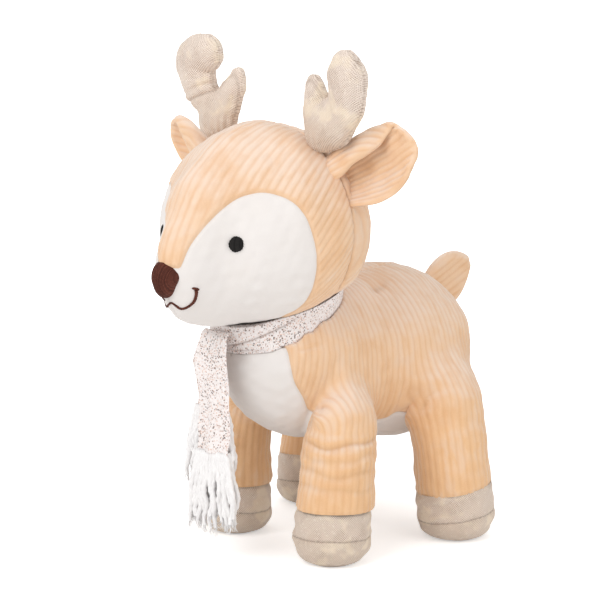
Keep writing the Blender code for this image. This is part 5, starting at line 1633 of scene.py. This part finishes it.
def make_strip(name, spec, materials, seed):
    """One hanging tail of the scarf: a thin folded strip that rolls back over the band at its top."""
    rows, columns = ((110, 44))
    v = np.linspace(-1, 1, columns)
    front, back = (np.array([strip_row(spec, u, v, face, seed) for u in np.linspace(0, 1, rows)])
                   for face in (1, -1))
    points = np.concatenate([front, back[:, ::-1]], axis=1).reshape(-1, 3)
    count = columns * 2
    faces = grid_faces(rows, count, closed_columns=True)
    for row in (0, rows - 1):
        for j in range(columns - 1):
            a, b = row * count + j, row * count + j + 1
            c, d = row * count + count - 2 - j, row * count + count - 1 - j
            faces.append((a, b, c, d) if row else (d, c, b, a))
    _, out = strip_axes(spec["low"])
    a, b, c = (points[i] for i in faces[0][:3])
    if np.dot(np.cross(b - a, c - a), out) < 0:
        faces = [face[::-1] for face in faces]
    return add_grid(f"{name}_cloth", points, faces, materials["scarf_cloth"])


STRAND_RADIUS = 0.00160


def stray_fibres(path, random):
    """Short thin fibres that stand off a strand of yarn, and finer wisps at its end."""
    runs = []
    for _ in range(24):
        root = random.integers(1, len(path) - 1)
        begin = path[root] + random.normal(size=3) * 0.0007
        sprout = unit(random.normal(size=3) * (1, 1, 0.4)) * random.uniform(0.0008, 0.0020)
        hang = np.array((0, 0, -random.uniform(0.001, 0.004)))
        fibre = np.array([begin, begin + sprout * 0.7 + hang * 0.3, begin + sprout + hang])
        runs.append(tube(smooth_path(fibre, 2), 0.00010, 3))
    for _ in range(5):
        end = path[-1] + random.normal(size=3) * 0.0004
        wisp = np.array([end, end + (random.normal(0, 0.0006), random.normal(0, 0.0006), -0.0022),
                         end + (random.normal(0, 0.0012), random.normal(0, 0.0012), -0.0042)])
        runs.append(tube(smooth_path(wisp, 2), np.linspace(0.00032, 0.0001, 5), 4))
    return runs


def make_fringe(name, spec, length, count, spread, seed, materials):
    """Loose wavy yarn that hangs from a hem in two layers, with stray fibres."""
    random = np.random.default_rng(seed)
    side, out = strip_axes(spec["low"])
    share = np.linspace(0, 1, 34)
    half = count // 2
    runs = []
    for k in range(count):
        start = (k % half) / (half - 1) * 2 - 1
        layer = 1 if k < half else -1
        reach = length * random.uniform(0.86, 1.04)
        swing, bend = random.uniform(-1, 1, 2)
        across = start * (STRIP_WIDTH / 2 - 0.0012)
        across = across + spread * (start + 0.25 * swing) * np.sin(share * pi * 0.62) ** 1.2
        turns = random.uniform(1.6, 2.6)
        across += 0.0011 * share ** 0.7 * np.sin(share * 2 * pi * turns + random.uniform(0, 6.3))
        forward = 0.0009 * layer + 0.0016 * layer * np.sin(share * pi * 0.8)
        forward = forward + 0.0012 * share * np.sin(share * 2 * pi * random.uniform(1.2, 2.4) + 6.3 * bend)
        path = np.array((spec["x"], spec["y"], 0.0)) + np.outer(across, side) + np.outer(forward, out)
        path[:, 2] = spec["hem"] + 0.0012 - reach * share
        radii = STRAND_RADIUS * (1 - 0.35 * smoothstep(0.75, 1.0, share))
        radii = radii * (1 + 0.10 * np.sin(share * 40 + k)) * (0.75 + 0.25 * smoothstep(0.0, 0.10, share))
        runs.append(tube(path, radii, 9, twist=0.12, pitch=0.0042))
        runs += stray_fibres(path, random)
    points, faces = joined(runs)
    return add_grid(f"{name}_yarn", points, faces, materials["yarn_white"])


def make_scarf(materials):
    """The band, its two hanging tails and their fringes."""
    make_band(materials)
    for label, spec, length, count, spread, seed in FRINGES:
        cloth = make_strip(f"scarf_tail_{label}", spec, materials, seed)
        settle(cloth, "scarf_ends", [f"scarf_tail_{label}"])
        yarn = make_fringe(f"fringe_{label}", spec, length, count, spread, seed, materials)
        settle(yarn, "scarf_ends", [f"fringe_{label}"])


# Stage

CAMERA_EYE = np.array((1.075, -1.066, 0.447))
CAMERA_AZIMUTH = radians(46.0)
CAMERA_ELEVATION = radians(11.4)
FOCAL_PIXELS = 2600.0
PICTURE_PIXELS = 600
SENSOR_MM = 36.0
FLOOR_REACH = 6.0
FLOOR_WHITE = (0.93, 0.93, 0.93, 1)
PLAIN_WHITE = (1, 1, 1, 1)
# The floor's own light, from near the deer outwards, and the surround's light on the deer
GLOW_NEAR = 0.42
GLOW_FROM = 0.22
GLOW_TO = 0.90
SURROUND_LIGHT = 0.61
LAMPS = (
    ("key", (0.1, -1.4, 1.2), (0, 0, 0.14), 1.1, 14),
    ("fill", (1.5, 0.3, 0.9), (0, 0, 0.12), 1.2, 6),
    ("top", (-0.4, 0.4, 1.8), (0, 0, 0.12), 1.2, 7),
)


def make_camera():
    """The photograph's view."""
    data = bpy.data.cameras.new("camera")
    data.sensor_width = SENSOR_MM
    data.lens = FOCAL_PIXELS / PICTURE_PIXELS * SENSOR_MM
    camera = bpy.data.objects.new("camera", data)
    bpy.context.scene.collection.objects.link(camera)
    back = Vector((sin(CAMERA_AZIMUTH) * cos(CAMERA_ELEVATION), -cos(CAMERA_AZIMUTH) * cos(CAMERA_ELEVATION),
                   sin(CAMERA_ELEVATION)))
    camera.rotation_mode = "QUATERNION"
    camera.rotation_quaternion = (-back).to_track_quat("-Z", "Y")
    camera.location = Vector(CAMERA_EYE + TO_ORIGIN)
    bpy.context.scene.camera = camera


def lamp(name, place, target, size, power):
    """A soft square lamp aimed at a point."""
    data = bpy.data.lights.new(name, "AREA")
    data.size = size
    data.energy = power
    thing = bpy.data.objects.new(name, data)
    thing.location = place
    thing.rotation_mode = "QUATERNION"
    thing.rotation_quaternion = (Vector(target) - Vector(place)).to_track_quat("-Z", "Y")
    bpy.context.scene.collection.objects.link(thing)


def make_stage():
    """A white floor that keeps the shadow, a white surround and soft lamps."""
    mesh = bpy.data.meshes.new("floor")
    corners = [(x * FLOOR_REACH, y * FLOOR_REACH, 0) for x, y in ((-1, -1), (1, -1), (1, 1), (-1, 1))]
    mesh.from_pydata(corners, [], [(0, 1, 2, 3)])
    n = Nodes(bpy.data.materials.new("floor_white"))
    distance = n.node("ShaderNodeVectorMath", operation="LENGTH")
    n.link(n.place(), distance.inputs[0])
    glow = n.ramp(distance.outputs["Value"], GLOW_FROM, GLOW_TO, GLOW_NEAR, 1.0, smooth=False)
    glow = n.maths("MULTIPLY", n.rays("Camera", "Glossy"), glow)
    n.shade(Base_Color=FLOOR_WHITE, Roughness=1.0, Specular_IOR_Level=0.0, Emission_Color=PLAIN_WHITE,
            Emission_Strength=glow)
    floor = add_object("floor", mesh, n.owner, {})

    world = bpy.data.worlds.new("surround")
    bpy.context.scene.world = world
    n = Nodes(world, "Background")
    strength = n.ramp(n.rays("Camera", "Transmission"), 0.0, 1.0, SURROUND_LIGHT, 1.0, smooth=False)
    n.shade(Color=PLAIN_WHITE, Strength=strength)

    for settings in LAMPS:
        lamp(*settings)
    bpy.context.scene.view_settings.view_transform = "Standard"


# Everything

def main():
    """Builds the pieces, the camera and the stage."""
    materials = make_materials()
    make_camera()
    make_stage()
    for make in (make_head, make_torso, make_hooves, make_face,
                 make_ears, make_tail, make_antlers, make_scarf):
        make(materials)


main()
